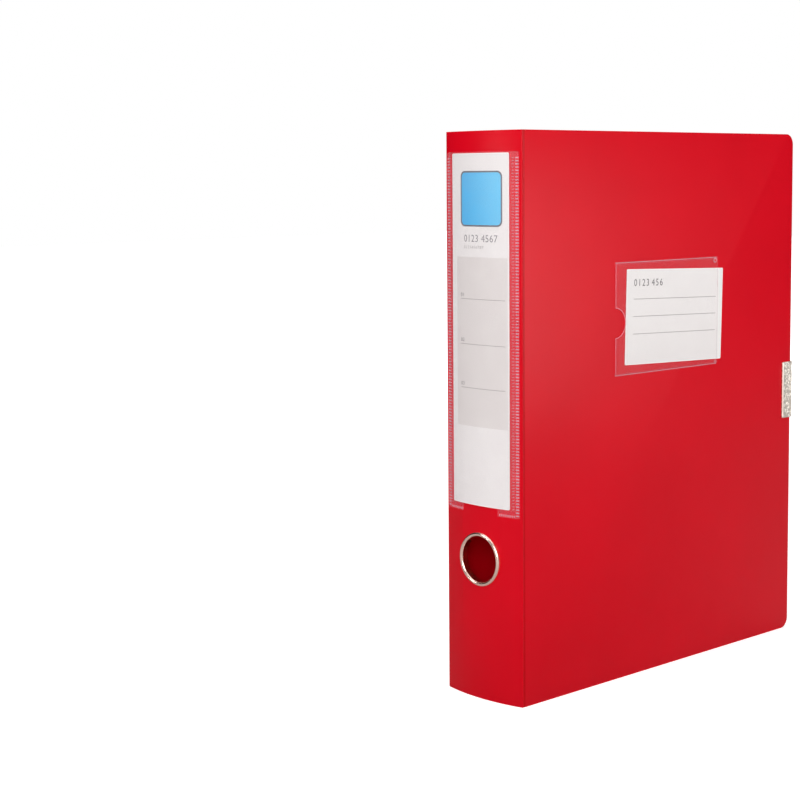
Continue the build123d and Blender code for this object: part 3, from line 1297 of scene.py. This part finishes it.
@dataclass
class KeeperClip:
    """Embossed steel strip folded over the cover's fore-edge.

    Attributes:
        gauge: Thickness of the strip.
        outer_leg: From the cover's fore-edge to the end of the outer leg.
        seat: From the cover's fore-edge to the start of the bend.
        corner: Rounding of the strip's corners.
        edge: Rounding of its long edges.
        end_edge: Wider rounding of the outer leg's end, in the lighter end finish.
        margin: Plain border round the emboss.
        end_band: Plain band at the end of the outer leg, lighter in colour, partly a painted
            highlight on its rolled edge.
        pebble: Distance between the pebbles.
        depth: Depth of the hollows between them.
        valley: Width of a hollow, as a share of that distance.
        mesh: Pitch of the mesh that carries them.
    """

    gauge: float = 0.8 * MM
    outer_leg: float = 9.0 * MM
    seat: float = 0.3 * MM
    corner: float = 0.9 * MM
    edge: float = 0.14 * MM
    end_edge: float = 0.34 * MM
    margin: float = 0.5 * MM
    end_band: float = 1.2 * MM
    pebble: float = 1.3 * MM
    depth: float = 0.13 * MM
    valley: float = 0.45
    mesh: float = 0.4 * MM

    def emboss(self, bm: BMesh, low: Vector, high: Vector, x_end: float) -> None:
        """Press the pebbles into the outer face.

        Args:
            bm: The folded strip.
            low: Lowest corner of the clip's node.
            high: Highest corner.
            x_end: Where the outer leg ends.
        """
        slice_along(bm, UP, low[2], high[2], self.mesh)
        slice_along(bm, 0, x_end, high[0] - self.gauge, self.mesh)
        for vert in bm.verts:
            inside = min(
                vert.co.x - x_end - self.end_band, high[0] - self.margin - vert.co.x,
                vert.co.z - low[2], high[2] - vert.co.z,
            )
            if vert.co.y < low[1] + TINY and inside > self.margin:
                distances = noise.voronoi(vert.co / self.pebble)[0]
                valley = 1.0 - ease(distances[1] - distances[0], 0.0, self.valley)
                vert.co.y += self.depth * valley * ease(inside, self.margin, 2 * self.margin)

    def build(self) -> None:
        """Fold the strip and round its edges."""
        low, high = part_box("keeper_clip")
        x_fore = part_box("front_cover")[1][0]
        x_bend = x_fore + self.seat
        x_end = x_fore - self.outer_leg
        y_axis = (low[1] + high[1]) / 2
        bm = bmesh.new()
        add_slab(bm, (x_end, low[1], low[2]), (x_bend, low[1] + self.gauge, high[2]))
        corners = edges_where(bm, lambda e: runs_along(e, 1) and e.verts[0].co.x < x_end + TINY)
        round_edges(bm, corners, self.corner, 5)
        self.grow(bm, x_bend, y_axis, low[0])
        ends = edges_where(
            bm,
            lambda e: is_rim(e)
            and max(v.co.x for v in e.verts) < x_end + self.corner + TINY
            and max(v.co.y for v in e.verts) < low[1] + self.gauge / 2,
        )
        round_edges(bm, ends, self.end_edge, 3)
        round_edges(bm, edges_where(bm, is_rim), self.edge)
        cut_at(bm, 0, x_end + self.end_band)
        self.emboss(bm, low, high, x_end)
        # The plain end band takes the lighter nickel: partly a painted highlight on the rolled
        # edge
        for face in bm.faces:
            spot = face.calc_center_median()
            on_highlight_band = spot.x < x_end + self.end_band and spot.y < low[1] + self.gauge / 2
            face.material_index = 1 if on_highlight_band else 0
        make_piece(
            "embossed_keeper_clip",
            bm,
            [CLIP_STEEL, CLIP_END_HIGHLIGHT],
            Body.COVER,
            ["keeper_clip"],
        )

    def grow(
        self, bm: BMesh, x_bend: float, y_axis: float, x_inner_end: float
    ) -> None:
        """Carry the outer leg round the bend and along the inner leg.

        Args:
            bm: The outer leg.
            x_bend: Where the bend starts.
            y_axis: The bend's axis along Y.
            x_inner_end: Where the inner leg ends.
        """
        end = [f for f in bm.faces if all(abs(v.co.x - x_bend) < TINY for v in f.verts)]
        made = bmesh.ops.spin(
            bm,
            geom=end,
            cent=(x_bend, y_axis, 0.0),
            axis=(0.0, 0.0, 1.0),
            angle=pi,
            steps=12,
            use_merge=False,
            use_duplicate=False,
        )["geom_last"]
        bmesh.ops.delete(bm, geom=[f for f in end if f.is_valid], context="FACES_ONLY")
        last = [item for item in made if isinstance(item, bmesh.types.BMFace)]
        leg = bmesh.ops.extrude_face_region(bm, geom=last)
        bmesh.ops.delete(bm, geom=[f for f in last if f.is_valid], context="FACES_ONLY")
        reach = Vector((x_inner_end - x_bend, 0.0, 0.0))
        bmesh.ops.translate(bm, verts=new_verts(leg), vec=reach)


# ---- Pockets ------------------------------------------------------------------------------------


@dataclass(kw_only=True)
class Pocket:
    """Clear film that is welded down along two edges and stands off the sheet between them.

    Attributes:
        film: Thickness of the film.
        rise: Height of its outer face over the card.
        seam: Width of a welded edge.
        step: Width of the film's step up from a seam.
        step_cuts: Cuts across a step.
        proud: How far a weld mark stands out of the film.
    """

    film: float = 0.2 * MM
    rise: float = 0.7 * MM
    seam: float = 2.8 * MM
    step: float = 0.5 * MM
    step_cuts: int = 6
    proud: float = 0.05 * MM

    def step_places(self, width: float) -> list[float]:
        """Where a step that ends at a width is cut, measured from the same edge."""
        return [
            width - self.step + self.step * share / (self.step_cuts - 1)
            for share in range(self.step_cuts)
        ]

    def weld_mark(
        self, bm: BMesh, face: float, place: Sequence[float], size: tuple[float, float]
    ) -> None:
        """Add one raised, frosted mark.

        Args:
            bm: The film, stepped but still flat.
            face: Height of the film's outer face there.
            place: Lower corner of the mark: the length across and the height up.
            size: Its length across and its height.
        """
        low = (face - self.proud, place[0], place[1])
        high = (face + self.proud, place[0] + size[0], place[1] + size[1])
        paint({face for vert in add_slab(bm, low, high) for face in vert.link_faces}, 3)


@dataclass(kw_only=True)
class SpinePocket(Pocket):
    """Clear film welded to the spine along both long edges and at two lower tabs.

    Attributes:
        arc: The spine's arc.
        top_corner: Rounding of the upper corners.
        low_corner: Rounding of the lower ones.
        tab_width: Width of a lower tab.
        tab_height: Height of a lower tab.
        strip: Width of the strips that the film is cut into.
        bar_pitch: Distance between the bars of a weld.
        bar: Length and height of a bar.
        fine_bar: Length and height of the finer marks beside the bars.
        fine_lift: How far the finer marks sit over the bars.
        tooth_pitch: Distance between the teeth along a tab's lower edge.
        tooth: Width and height of a tooth.
        tooth_inset: Height of the teeth's foot over the film's lower edge.
    """

    arc: SpineArc
    top_corner: float = 1.2 * MM
    low_corner: float = 1.0 * MM
    tab_width: float = 14.0 * MM
    tab_height: float = 4.2 * MM
    strip: float = 1.5 * MM
    bar_pitch: float = 1.67 * MM
    bar: tuple[float, float] = (1.9 * MM, 0.7 * MM)
    fine_bar: tuple[float, float] = (1.3 * MM, 0.22 * MM)
    fine_lift: float = 0.3 * MM
    tooth_pitch: float = 1.2 * MM
    tooth: tuple[float, float] = (0.55 * MM, 1.1 * MM)
    tooth_inset: float = 0.5 * MM

    def weld_ladders(
        self, bm: BMesh, first: float, last: float, floor: float, top: float
    ) -> None:
        """Add the ladder of bars down both seams, with finer marks beside it.

        Args:
            bm: The film, stepped but still flat.
            first: One long edge.
            last: The other long edge.
            floor: The lower edge.
            top: The upper edge.
        """
        inset = (self.seam - self.step - self.bar[0]) / 2
        rungs = int((top - floor) / self.bar_pitch) - 1
        for rung in range(rungs):
            up = floor + self.bar_pitch * (rung + 0.7)
            for across in (first + inset, last - inset - self.bar[0]):
                self.weld_mark(bm, self.film, (across, up), self.bar)
            if up > floor + self.tab_height:
                for across in (first + self.seam, last - self.seam - self.fine_bar[0]):
                    self.weld_mark(bm, self.rise, (across, up + self.fine_lift), self.fine_bar)

    def weld_teeth(
        self, bm: BMesh, first: float, last: float, floor: float
    ) -> None:
        """Add the row of teeth along the lower edge of both tabs.

        Args:
            bm: The film, stepped but still flat.
            first: One long edge.
            last: The other long edge.
            floor: The lower edge.
        """
        count = int((self.tab_width - self.seam) / self.tooth_pitch)
        for start in (first + self.seam, last - self.tab_width + self.tooth_pitch / 2):
            for number in range(count):
                place = (start + number * self.tooth_pitch, floor + self.tooth_inset)
                self.weld_mark(bm, self.film, place, self.tooth)

    def height(self, from_edge: float, from_bottom: float) -> float:
        """How far the film stands off the spine.

        Args:
            from_edge: Distance to the nearer long edge.
            from_bottom: Distance to the lower edge.

        Returns:
            Height of the film's inner face.
        """
        lifted = ease(from_edge, self.seam - self.step, self.seam)
        if from_edge < self.tab_width:
            lifted *= ease(from_bottom, self.tab_height - self.step, self.tab_height)
        return lifted * (self.rise - self.film)

    def build(self) -> None:
        """Build the film with its seams, tabs and weld marks."""
        low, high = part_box("spine_pocket_film")
        first, last = self.arc.across(low[1]), self.arc.across(high[1])
        bm = bmesh.new()
        add_slab(bm, (0.0, first, low[2]), (self.film, last, high[2]))
        tops = edges_where(bm, lambda e: runs_along(e, OUT) and e.verts[0].co[UP] > 0.9 * high[2])
        round_edges(bm, tops, self.top_corner, 4)
        lows = edges_where(bm, lambda e: runs_along(e, OUT) and e.verts[0].co[UP] < low[2] + TINY)
        round_edges(bm, lows, self.low_corner, 4)
        cutter = bmesh.new()
        add_slab(
            cutter,
            (-self.film, first + self.tab_width, low[2] - self.film),
            (2 * self.film, last - self.tab_width, low[2] + self.tab_height),
        )
        bm = cut_away(bm, cutter)
        slice_along(bm, ACROSS, first, last, self.strip)
        for inset in self.step_places(self.seam):
            cut_at(bm, ACROSS, first + inset)
            cut_at(bm, ACROSS, last - inset)
        for inset in self.step_places(self.tab_height):
            cut_at(bm, UP, low[2] + inset)
        self.mark(bm, first, last, low[2])
        for vert in bm.verts:
            from_edge = min(vert.co[ACROSS] - first, last - vert.co[ACROSS])
            vert.co[OUT] += self.height(from_edge, vert.co[UP] - low[2])
        self.weld_ladders(bm, first, last, low[2], high[2])
        self.weld_teeth(bm, first, last, low[2])
        self.arc.lay(bm)
        make_piece(
            "spine_pocket",
            bm,
            [HAZY_FILM, PRESSED_FILM, FILM_EDGE_HIGHLIGHT, WELD],
            Body.SPINE,
            ["spine_pocket_film"],
        )

    def mark(self, bm: BMesh, first: float, last: float, floor: float) -> None:
        """Give each region of the flat film its material number.

        Args:
            bm: The flat film.
            first: One long edge.
            last: The other long edge.
            floor: The lower edge.
        """
        bmesh.ops.recalc_face_normals(bm, faces=bm.faces)
        for face in bm.faces:
            spot = face.calc_center_median()
            from_edge = min(spot[ACROSS] - first, last - spot[ACROSS])
            # Side faces take the brighter film-edge finish: a painted highlight along the cut edge
            if abs(face.normal[OUT]) < 0.5:
                face.material_index = 2
            elif from_edge < self.seam - self.step or spot[UP] < floor + self.tab_height:
                face.material_index = 1


@dataclass(kw_only=True)
class CoverPocket(Pocket):
    """Clear film welded to the cover along its two long edges, with a thumb notch.

    Attributes:
        face: The cover's outer face.
        seam: Width of a welded edge.
        step: Width of the film's step up from a seam.
        corner: Rounding of the film's corners.
        notch_radius: Radius of the thumb notch.
        notch_height: Height of the notch's centre over the lower edge.
        edge_band: Width of the bright cut edge, a painted highlight.
        top_spot: The upper round weld: from the film's end, from its long edge, and the radius.
        low_spot: The lower one.
        ridge: Width of the ridge along each weld.
        ridge_inset: From the film's long edge to its ridge.
    """

    face: CoverFace
    seam: float = 1.4 * MM
    step: float = 0.4 * MM
    corner: float = 0.8 * MM
    notch_radius: float = 8.3 * MM
    notch_height: float = 30.2 * MM
    edge_band: float = 0.45 * MM
    top_spot: tuple[float, float, float] = (2.6 * MM, 2.2 * MM, 1.5 * MM)
    low_spot: tuple[float, float, float] = (1.8 * MM, 1.9 * MM, 1.0 * MM)
    ridge: float = 0.28 * MM
    ridge_inset: float = 0.35 * MM

    def notch_rim(self, bm: BMesh, low: Vector) -> None:
        """Add the bright rim of the thumb notch.

        Args:
            bm: The film, stepped but still flat.
            low: Lowest corner of the film's node.
        """
        centre = (self.rise - self.film / 4, low[0], low[2] + self.notch_height)
        ring = add_ring(bm, centre, (self.notch_radius, self.notch_radius + self.edge_band), 72)
        spare = [face for face in ring if face.calc_center_median()[ACROSS] < low[0]]
        kept = [face for face in ring if face not in spare]
        bmesh.ops.delete(bm, geom=spare, context="FACES")
        # The notch's rim takes the brighter film-edge finish: a painted highlight
        paint(kept, 2)
        thicken(bm, kept, self.film / 2)

    def build(self) -> None:
        """Build the film with its seams, notch and spot welds."""
        low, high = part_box("cover_pocket_film")
        bm = bmesh.new()
        add_slab(bm, (0.0, low[0], low[2]), (self.film, high[0], high[2]))
        corners = edges_where(bm, lambda e: runs_along(e, OUT))
        round_edges(bm, corners, self.corner, 4)
        bm = punch(bm, (0.0, low[0], low[2] + self.notch_height), self.notch_radius, 72)
        for inset in self.step_places(self.seam):
            cut_at(bm, UP, low[2] + inset)
            cut_at(bm, UP, high[2] - inset)
        cut_at(bm, ACROSS, low[0] + self.edge_band)
        self.mark(bm, low, high)
        for vert in bm.verts:
            from_edge = min(vert.co[UP] - low[2], high[2] - vert.co[UP])
            lifted = ease(from_edge, self.seam - self.step, self.seam)
            vert.co[OUT] += lifted * (self.rise - self.film)
        self.notch_rim(bm, low)
        for up in (low[2] + self.ridge_inset, high[2] - self.ridge_inset - self.ridge):
            ends = (low[0] + self.edge_band, high[0] - self.edge_band)
            slab = add_slab(
                bm,
                (self.film - self.ridge / 8, ends[0], up),
                (self.film + self.ridge / 4, ends[1], up + self.ridge),
            )
            paint({face for vert in slab for face in vert.link_faces}, 3)
        from_end, from_edge, radius = self.top_spot
        self.spot(bm, high[0] - from_end, high[2] - from_edge, radius)
        from_end, from_edge, radius = self.low_spot
        self.spot(bm, high[0] - from_end, low[2] + from_edge, radius)
        self.face.lay(bm)
        make_piece(
            "cover_pocket",
            bm,
            [FILM, PRESSED_FILM, FILM_EDGE_HIGHLIGHT, WELD],
            Body.COVER,
            ["cover_pocket_film"],
        )

    def mark(self, bm: BMesh, low: Vector, high: Vector) -> None:
        """Give each region of the flat film its material number.

        Args:
            bm: The flat film.
            low: Lowest corner of the film's node.
            high: Highest corner.
        """
        bmesh.ops.recalc_face_normals(bm, faces=bm.faces)
        for face in bm.faces:
            spot = face.calc_center_median()
            from_edge = min(spot[UP] - low[2], high[2] - spot[UP])
            # Side faces and the band along the open end take the brighter film-edge finish: a
            # painted highlight
            if abs(face.normal[OUT]) < 0.5 or spot[ACROSS] < low[0] + self.edge_band:
                face.material_index = 2
            elif from_edge < self.seam:
                face.material_index = 1

    def spot(self, bm: BMesh, across: float, up: float, radius: float) -> None:
        """Add the raised rim of a round weld.

        Args:
            bm: The film, stepped but still flat.
            across: Place of the weld's centre.
            up: Height of its centre.
            radius: Outer radius of the rim.
        """
        ring = add_ring(bm, (self.rise, across, up), (radius, radius * 0.62), 28)
        paint(ring, 3)
        thicken(bm, ring, self.film / 5)


# ---- Cards --------------------------------------------------------------------------------------


@dataclass
class LabelSheet:
    """A printed card, laid out as a reader sees it: X to the right, Y up and Z towards the reader.

    Attributes:
        width: Width of the card.
        height: Height of the card.
        thickness: Thickness of the board.
        corner: Rounding of its corners.
        ink_lift: Thickness given to a layer of ink.
        bm: The mesh that grows.
    """

    width: float
    height: float
    thickness: float = 0.3 * MM
    corner: float = 0.8 * MM
    ink_lift: float = 0.02 * MM
    bm: BMesh = field(default_factory=bmesh.new)

    def blank(self, rim: int, rim_width: float) -> None:
        """Cut the blank card, with a clean border of another finish.

        Args:
            rim: Material number of the border, a whiter finish that paints a highlight along the
                cut edge.
            rim_width: Width of the border.
        """
        add_slab(self.bm, (0.0, 0.0, 0.0), (self.width, self.height, self.thickness))
        round_edges(self.bm, edges_where(self.bm, lambda e: runs_along(e, 2)), self.corner, 4)
        for axis, end in ((0, self.width), (1, self.height)):
            cut_at(self.bm, axis, rim_width)
            cut_at(self.bm, axis, end - rim_width)
        # The border takes the whiter rim finish: a painted highlight along the cut edge
        for face in self.bm.faces:
            spot = face.calc_center_median()
            inside = (
                rim_width < spot.x < self.width - rim_width
                and rim_width < spot.y < self.height - rim_width
            )
            face.material_index = 0 if inside else rim

    def plate(
        self,
        corners: tuple[float, float, float, float],
        number: int,
        layer: int = 1,
        radius: float = 0.0,
    ) -> None:
        """Print a filled rectangle.

        Args:
            corners: Left, bottom, right and top.
            number: Material number of the ink.
            layer: How many layers of ink lie under its face, itself included.
            radius: Rounding of its corners.
        """
        left, bottom, right, top = corners
        layer_bm = bmesh.new()
        add_slab(
            layer_bm,
            (left, bottom, self.thickness),
            (right, top, self.thickness + layer * self.ink_lift),
        )
        if radius > 0.0:
            round_edges(layer_bm, edges_where(layer_bm, lambda e: runs_along(e, 2)), radius, 8)
        join_into(self.bm, layer_bm, number)

    def numerals(
        self,
        text: str,
        left: float,
        bottom: float,
        height: float,
        number: int,
        spacing: float = 1.0,
    ) -> None:
        """Print numerals.

        Args:
            text: The numerals.
            left: Where they start.
            bottom: Their foot.
            height: Their height.
            number: Material number of the ink.
            spacing: Room between numerals, as a share of the usual.
        """
        letters = digits_mesh(text, height, spacing)
        lift = self.thickness + 2 * self.ink_lift
        bmesh.ops.translate(letters, verts=letters.verts, vec=Vector((left, bottom, lift)))
        join_into(self.bm, letters, number)


@dataclass
class SpineCard:
    """The spine's label card, with a tinted window, a heading and a ruled panel.

    Sizes are measured from the card's left and bottom edges as a reader sees them.

    Attributes:
        arc: The spine's arc.
        seat: Height of the card's back over the spine.
        rim: Width of the card's whiter rim, a painted highlight along its cut edge.
        window: Left, bottom, right and top of the tinted window.
        window_corner: Rounding of its corners.
        border: Width of its dark border.
        panel: Left, bottom, right and top of the ruled panel.
        rules: Heights of the three rules over the card's lower edge.
        rule_ends: Left and right ends of a rule.
        rule: Thickness of a rule.
        rule_number: Size of a rule's number, and its height over the rule.
        heading: Left end, foot and size of the heading.
        subheading: Left end, foot and size of the line under it.
        strip: Width of the strips that the card is cut into.
    """

    arc: SpineArc
    seat: float = 0.1 * MM
    rim: float = 0.35 * MM
    window: tuple[float, float, float, float] = (7.7 * MM, 152.5 * MM, 38.5 * MM, 182.5 * MM)
    window_corner: float = 3.2 * MM
    border: float = 0.9 * MM
    panel: tuple[float, float, float, float] = (4.1 * MM, 43.4 * MM, 41.8 * MM, 136.0 * MM)
    rules: tuple[float, ...] = (113.0 * MM, 88.3 * MM, 64.3 * MM)
    rule_ends: tuple[float, float] = (7.5 * MM, 40.2 * MM)
    rule: float = 0.3 * MM
    rule_number: tuple[float, float] = (2.0 * MM, 1.4 * MM)
    heading: tuple[float, float, float] = (10.5 * MM, 144.2 * MM, 3.9 * MM)
    subheading: tuple[float, float, float] = (10.5 * MM, 140.6 * MM, 1.6 * MM)
    strip: float = 1.5 * MM

    def build(self) -> None:
        """Print the card and bend it onto the spine."""
        low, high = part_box("spine_label_card")
        first, last = self.arc.across(low[1]), self.arc.across(high[1])
        card = LabelSheet(last - first, high[2] - low[2])
        card.blank(6, self.rim)
        left, bottom, right, top = self.window
        border = self.border
        card.plate(self.window, 3, radius=self.window_corner)
        inner = (left + border, bottom + border, right - border, top - border)
        card.plate(inner, 4, layer=2, radius=self.window_corner - 0.7 * MM)
        card.plate(self.panel, 1)
        start, end = self.rule_ends
        size, lift = self.rule_number
        for number, height in enumerate(self.rules, start=1):
            card.plate((start, height, end, height + self.rule), 2, layer=2)
            card.numerals(f"0{number}", start, height + lift, size, 7, spacing=1.1)
        card.numerals("0123 4567", *self.heading, 5, spacing=1.06)
        card.numerals("0 1 2 3 4 5 6 7 8 9", *self.subheading, 2, spacing=0.9)
        tint = FadedInk(
            "faded_cyan_tint", "08A2DE", "58C2E8", high[1], low[1], low[2] + bottom, top - bottom
        )
        bm = card.bm
        slice_along(bm, 0, 0.0, card.width, self.strip)
        for vert in bm.verts:
            right, up, out = vert.co
            vert.co = Vector((self.seat + out, last - right, low[2] + up))
        self.arc.lay(bm)
        make_piece(
            "spine_card",
            bm,
            [CARD, PANEL_TINT, RULE_INK, FRAME_INK, tint, TEXT_INK, CARD_EDGE_HIGHLIGHT, CAPTION_INK],
            Body.SPINE_CARD,
            ["spine_label_card"],
        )


@dataclass
class CoverCard:
    """The cover's label card, which sits a little askew in its pocket.

    Sizes are measured from the card's left and bottom edges as a reader sees them.

    Attributes:
        face: The cover's outer face.
        tilt: How far the card leans clockwise, in degrees.
        seat: Height of the card's back over the cover.
        rim: Width of the card's whiter rim, a painted highlight along its cut edge.
        rules: Heights of the three rules over the card's lower edge.
        rule: Half the length and the thickness of a rule.
        heading: Drop of the heading's foot under the card's top, and its size.
        strip: Width of the strips that the card is cut into.
    """

    face: CoverFace
    tilt: float = 1.8
    seat: float = 0.1 * MM
    rim: float = 0.4 * MM
    rules: tuple[float, ...] = (37.2 * MM, 27.3 * MM, 17.3 * MM)
    rule: tuple[float, float] = (38 * MM, 0.35 * MM)
    heading: tuple[float, float] = (9.6 * MM, 4.0 * MM)
    strip: float = 8 * MM

    def build(self) -> None:
        """Print the card, lean it and lay it on the cover."""
        low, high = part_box("cover_label_card")
        lean = radians(self.tilt)
        box_width, box_height = high[0] - low[0], high[2] - low[2]
        scale = cos(lean) ** 2 - sin(lean) ** 2
        width = (box_width * cos(lean) - box_height * sin(lean)) / scale
        height = (box_height * cos(lean) - box_width * sin(lean)) / scale
        card = LabelSheet(width, height)
        card.blank(3, self.rim)
        half, weight = self.rule
        start, end = width / 2 - half, width / 2 + half
        for level in self.rules:
            card.plate((start, level, end, level + weight), 1, layer=2)
        drop, size = self.heading
        card.numerals("0 1 2 3  4 5 6", start, height - drop, size, 2, spacing=0.86)
        bm = card.bm
        slice_along(bm, 0, 0.0, width, self.strip)
        centre = Vector(((low[0] + high[0]) / 2, (low[2] + high[2]) / 2))
        for vert in bm.verts:
            right, up, out = vert.co.x - width / 2, vert.co.y - height / 2, vert.co.z
            vert.co = Vector(
                (
                    self.seat + out,
                    centre[0] + right * cos(lean) + up * sin(lean),
                    centre[1] - right * sin(lean) + up * cos(lean),
                )
            )
        self.face.lay(bm)
        make_piece(
            "cover_card",
            bm,
            [CARD, RULE_INK, CAPTION_INK, CARD_EDGE_HIGHLIGHT],
            Body.COVER_CARD,
            ["cover_label_card"],
        )


# ---- Studio -------------------------------------------------------------------------------------


@dataclass
class Studio:
    """Floor, soft light and camera.

    Attributes:
        floor_size: Side of the floor.
        target: The point that the lights face.
        camera_place: Where the camera stands.
        camera_turn: Its heading, measured from +Y towards +X, in degrees.
        camera_dip: How far it looks down, in degrees.
        camera_roll: How far it is rolled, in degrees.
        lens: Its focal length in millimetres on a 36 mm sensor.
        shift: Its vertical shift.
        daylight: Strength of the room's even light.
        dark_sides: The room's darker sides; see lobe.
        softboxes: Each light's name, place, width and height, and power in watts.
    """

    floor_size: float = 12.0
    target: Vector = field(default_factory=lambda: Vector((0.0, 0.0, 0.15)))
    camera_place: tuple[float, float, float] = (-0.7927, -0.6590, 0.2871)
    camera_turn: float = 42.74
    camera_dip: float = 5.34
    camera_roll: float = -0.48
    lens: float = 78.07
    shift: float = -0.075
    daylight: float = 0.62
    dark_sides: tuple[tuple[Direction, float, float, float], ...] = (
        ((0.86, -0.50, -0.05), 0.30, 0.90, 0.92),
        ((-0.38, 0.88, -0.20), 0.10, 0.78, 0.96),
    )
    softboxes: tuple[tuple[str, Direction, tuple[float, float], float], ...] = (
        ("cover_softbox", (0.84, -1.18, 0.30), (0.4, 0.8), 9.2),
        ("front_fill_softbox", (-1.20, -0.82, 0.62), (0.7, 0.7), 13.4),
        ("spine_softbox", (-1.20, 0.62, 0.52), (0.30, 0.30), 3.0),
        ("overhead_softbox", (0.0, 0.1, 2.2), (2.2, 2.2), 18.0),
    )

    def floor(self) -> None:
        """Lay the floor under the box."""
        bm = bmesh.new()
        bmesh.ops.create_grid(bm, x_segments=1, y_segments=1, size=self.floor_size / 2)
        floor = mesh_object("studio_floor", bm)
        floor.data.materials.append(FLOOR.material())

    def softbox(
        self, name: str, place: Direction, size: tuple[float, float], power: float
    ) -> None:
        """Hang a softbox that faces the target.

        Args:
            name: The light's name.
            place: Where it hangs.
            size: Its width and height.
            power: Its power in watts.
        """
        light = bpy.data.lights.new(name, "AREA")
        light.shape = "RECTANGLE"
        light.size, light.size_y = size
        light.energy = power
        holder = place_object(name, light)
        holder.location = place
        aim = self.target - Vector(place)
        holder.rotation_euler = aim.to_track_quat("-Z", "Y").to_euler()

    def lobe(
        self, tree: Tree, direction: Socket, side: Direction, low: float, high: float, dark: float
    ) -> Socket:
        """How bright the room is, with one side darkened.

        Args:
            tree: The world's node tree.
            direction: The direction that is looked in.
            side: Direction of the dark side's middle.
            low: Cosine of the angle at which the dark side starts.
            high: Cosine of the angle inside which it is darkest.
            dark: How much of the light it loses there.

        Returns:
            The share of the light that is left.
        """
        facing = add_node(
            tree,
            "ShaderNodeVectorMath",
            values={1: side},
            links={0: direction},
            operation="DOT_PRODUCT",
        )
        left = add_node(
            tree,
            "ShaderNodeMapRange",
            values={"From Min": low, "From Max": high, "To Min": 1.0, "To Max": 1.0 - dark},
            links={"Value": facing.outputs["Value"]},
            interpolation_type="SMOOTHSTEP",
        )
        return left.outputs["Result"]

    def surroundings(self) -> None:
        """Light the room evenly, with two darker sides that keep the red saturated."""
        world = bpy.data.worlds.new("white_studio")
        world.use_nodes = True
        tree = world.node_tree
        tree.nodes.clear()
        direction = add_node(tree, "ShaderNodeTexCoord").outputs["Generated"]
        strength = calculate(tree, "MULTIPLY", *(
            self.lobe(tree, direction, *side) for side in self.dark_sides
        ))
        dimmed = calculate(tree, "MULTIPLY", strength, self.daylight)
        seen = add_node(tree, "ShaderNodeLightPath").outputs["Is Camera Ray"]
        back = add_node(
            tree,
            "ShaderNodeBackground",
            values={"Color": linear("FFFFFF")},
            links={"Strength": calculate(tree, "MAXIMUM", dimmed, seen)},
        )
        add_node(tree, "ShaderNodeOutputWorld", links={"Surface": back.outputs[0]})
        bpy.context.scene.world = world
        bpy.context.scene.view_settings.view_transform = "Standard"

    def camera(self) -> None:
        """Place the camera and make it the scene's."""
        turn, dip, roll = (
            radians(a) for a in (self.camera_turn, self.camera_dip, self.camera_roll)
        )
        ahead = Vector((sin(turn) * cos(dip), cos(turn) * cos(dip), -sin(dip)))
        level = Vector((cos(turn), -sin(turn), 0.0))
        upright = level.cross(ahead)
        right = level * cos(roll) + upright * sin(roll)
        up = upright * cos(roll) - level * sin(roll)
        lens = bpy.data.cameras.new("studio_camera")
        lens.lens = self.lens
        lens.sensor_width = 36.0
        lens.shift_y = self.shift
        lens.clip_end = 50.0
        holder = place_object("studio_camera", lens)
        axes = Matrix((right, up, -ahead)).transposed()
        holder.matrix_world = Matrix.Translation(self.camera_place) @ axes.to_4x4()
        bpy.context.scene.camera = holder

    def build(self) -> None:
        """Set the whole studio up."""
        self.floor()
        self.surroundings()
        for light in self.softboxes:
            self.softbox(*light)
        self.camera()


# ---- Assembly -----------------------------------------------------------------------------------


def main() -> None:
    """Build every piece in order."""
    logging.basicConfig(level=logging.INFO, format="%(name)s: %(message)s")
    arc = SpineArc.from_frame()
    face = CoverFace(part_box("front_cover")[0][1])
    for part in (
        Wrap(arc),
        Tray(),
        FingerRing(arc),
        KeeperClip(),
        SpinePocket(arc=arc),
        SpineCard(arc),
        CoverPocket(face=face),
        CoverCard(face),
        Studio(),
    ):
        LOG.info("building %s", type(part).__name__)
        part.build()


if __name__ == "__main__":
    main()
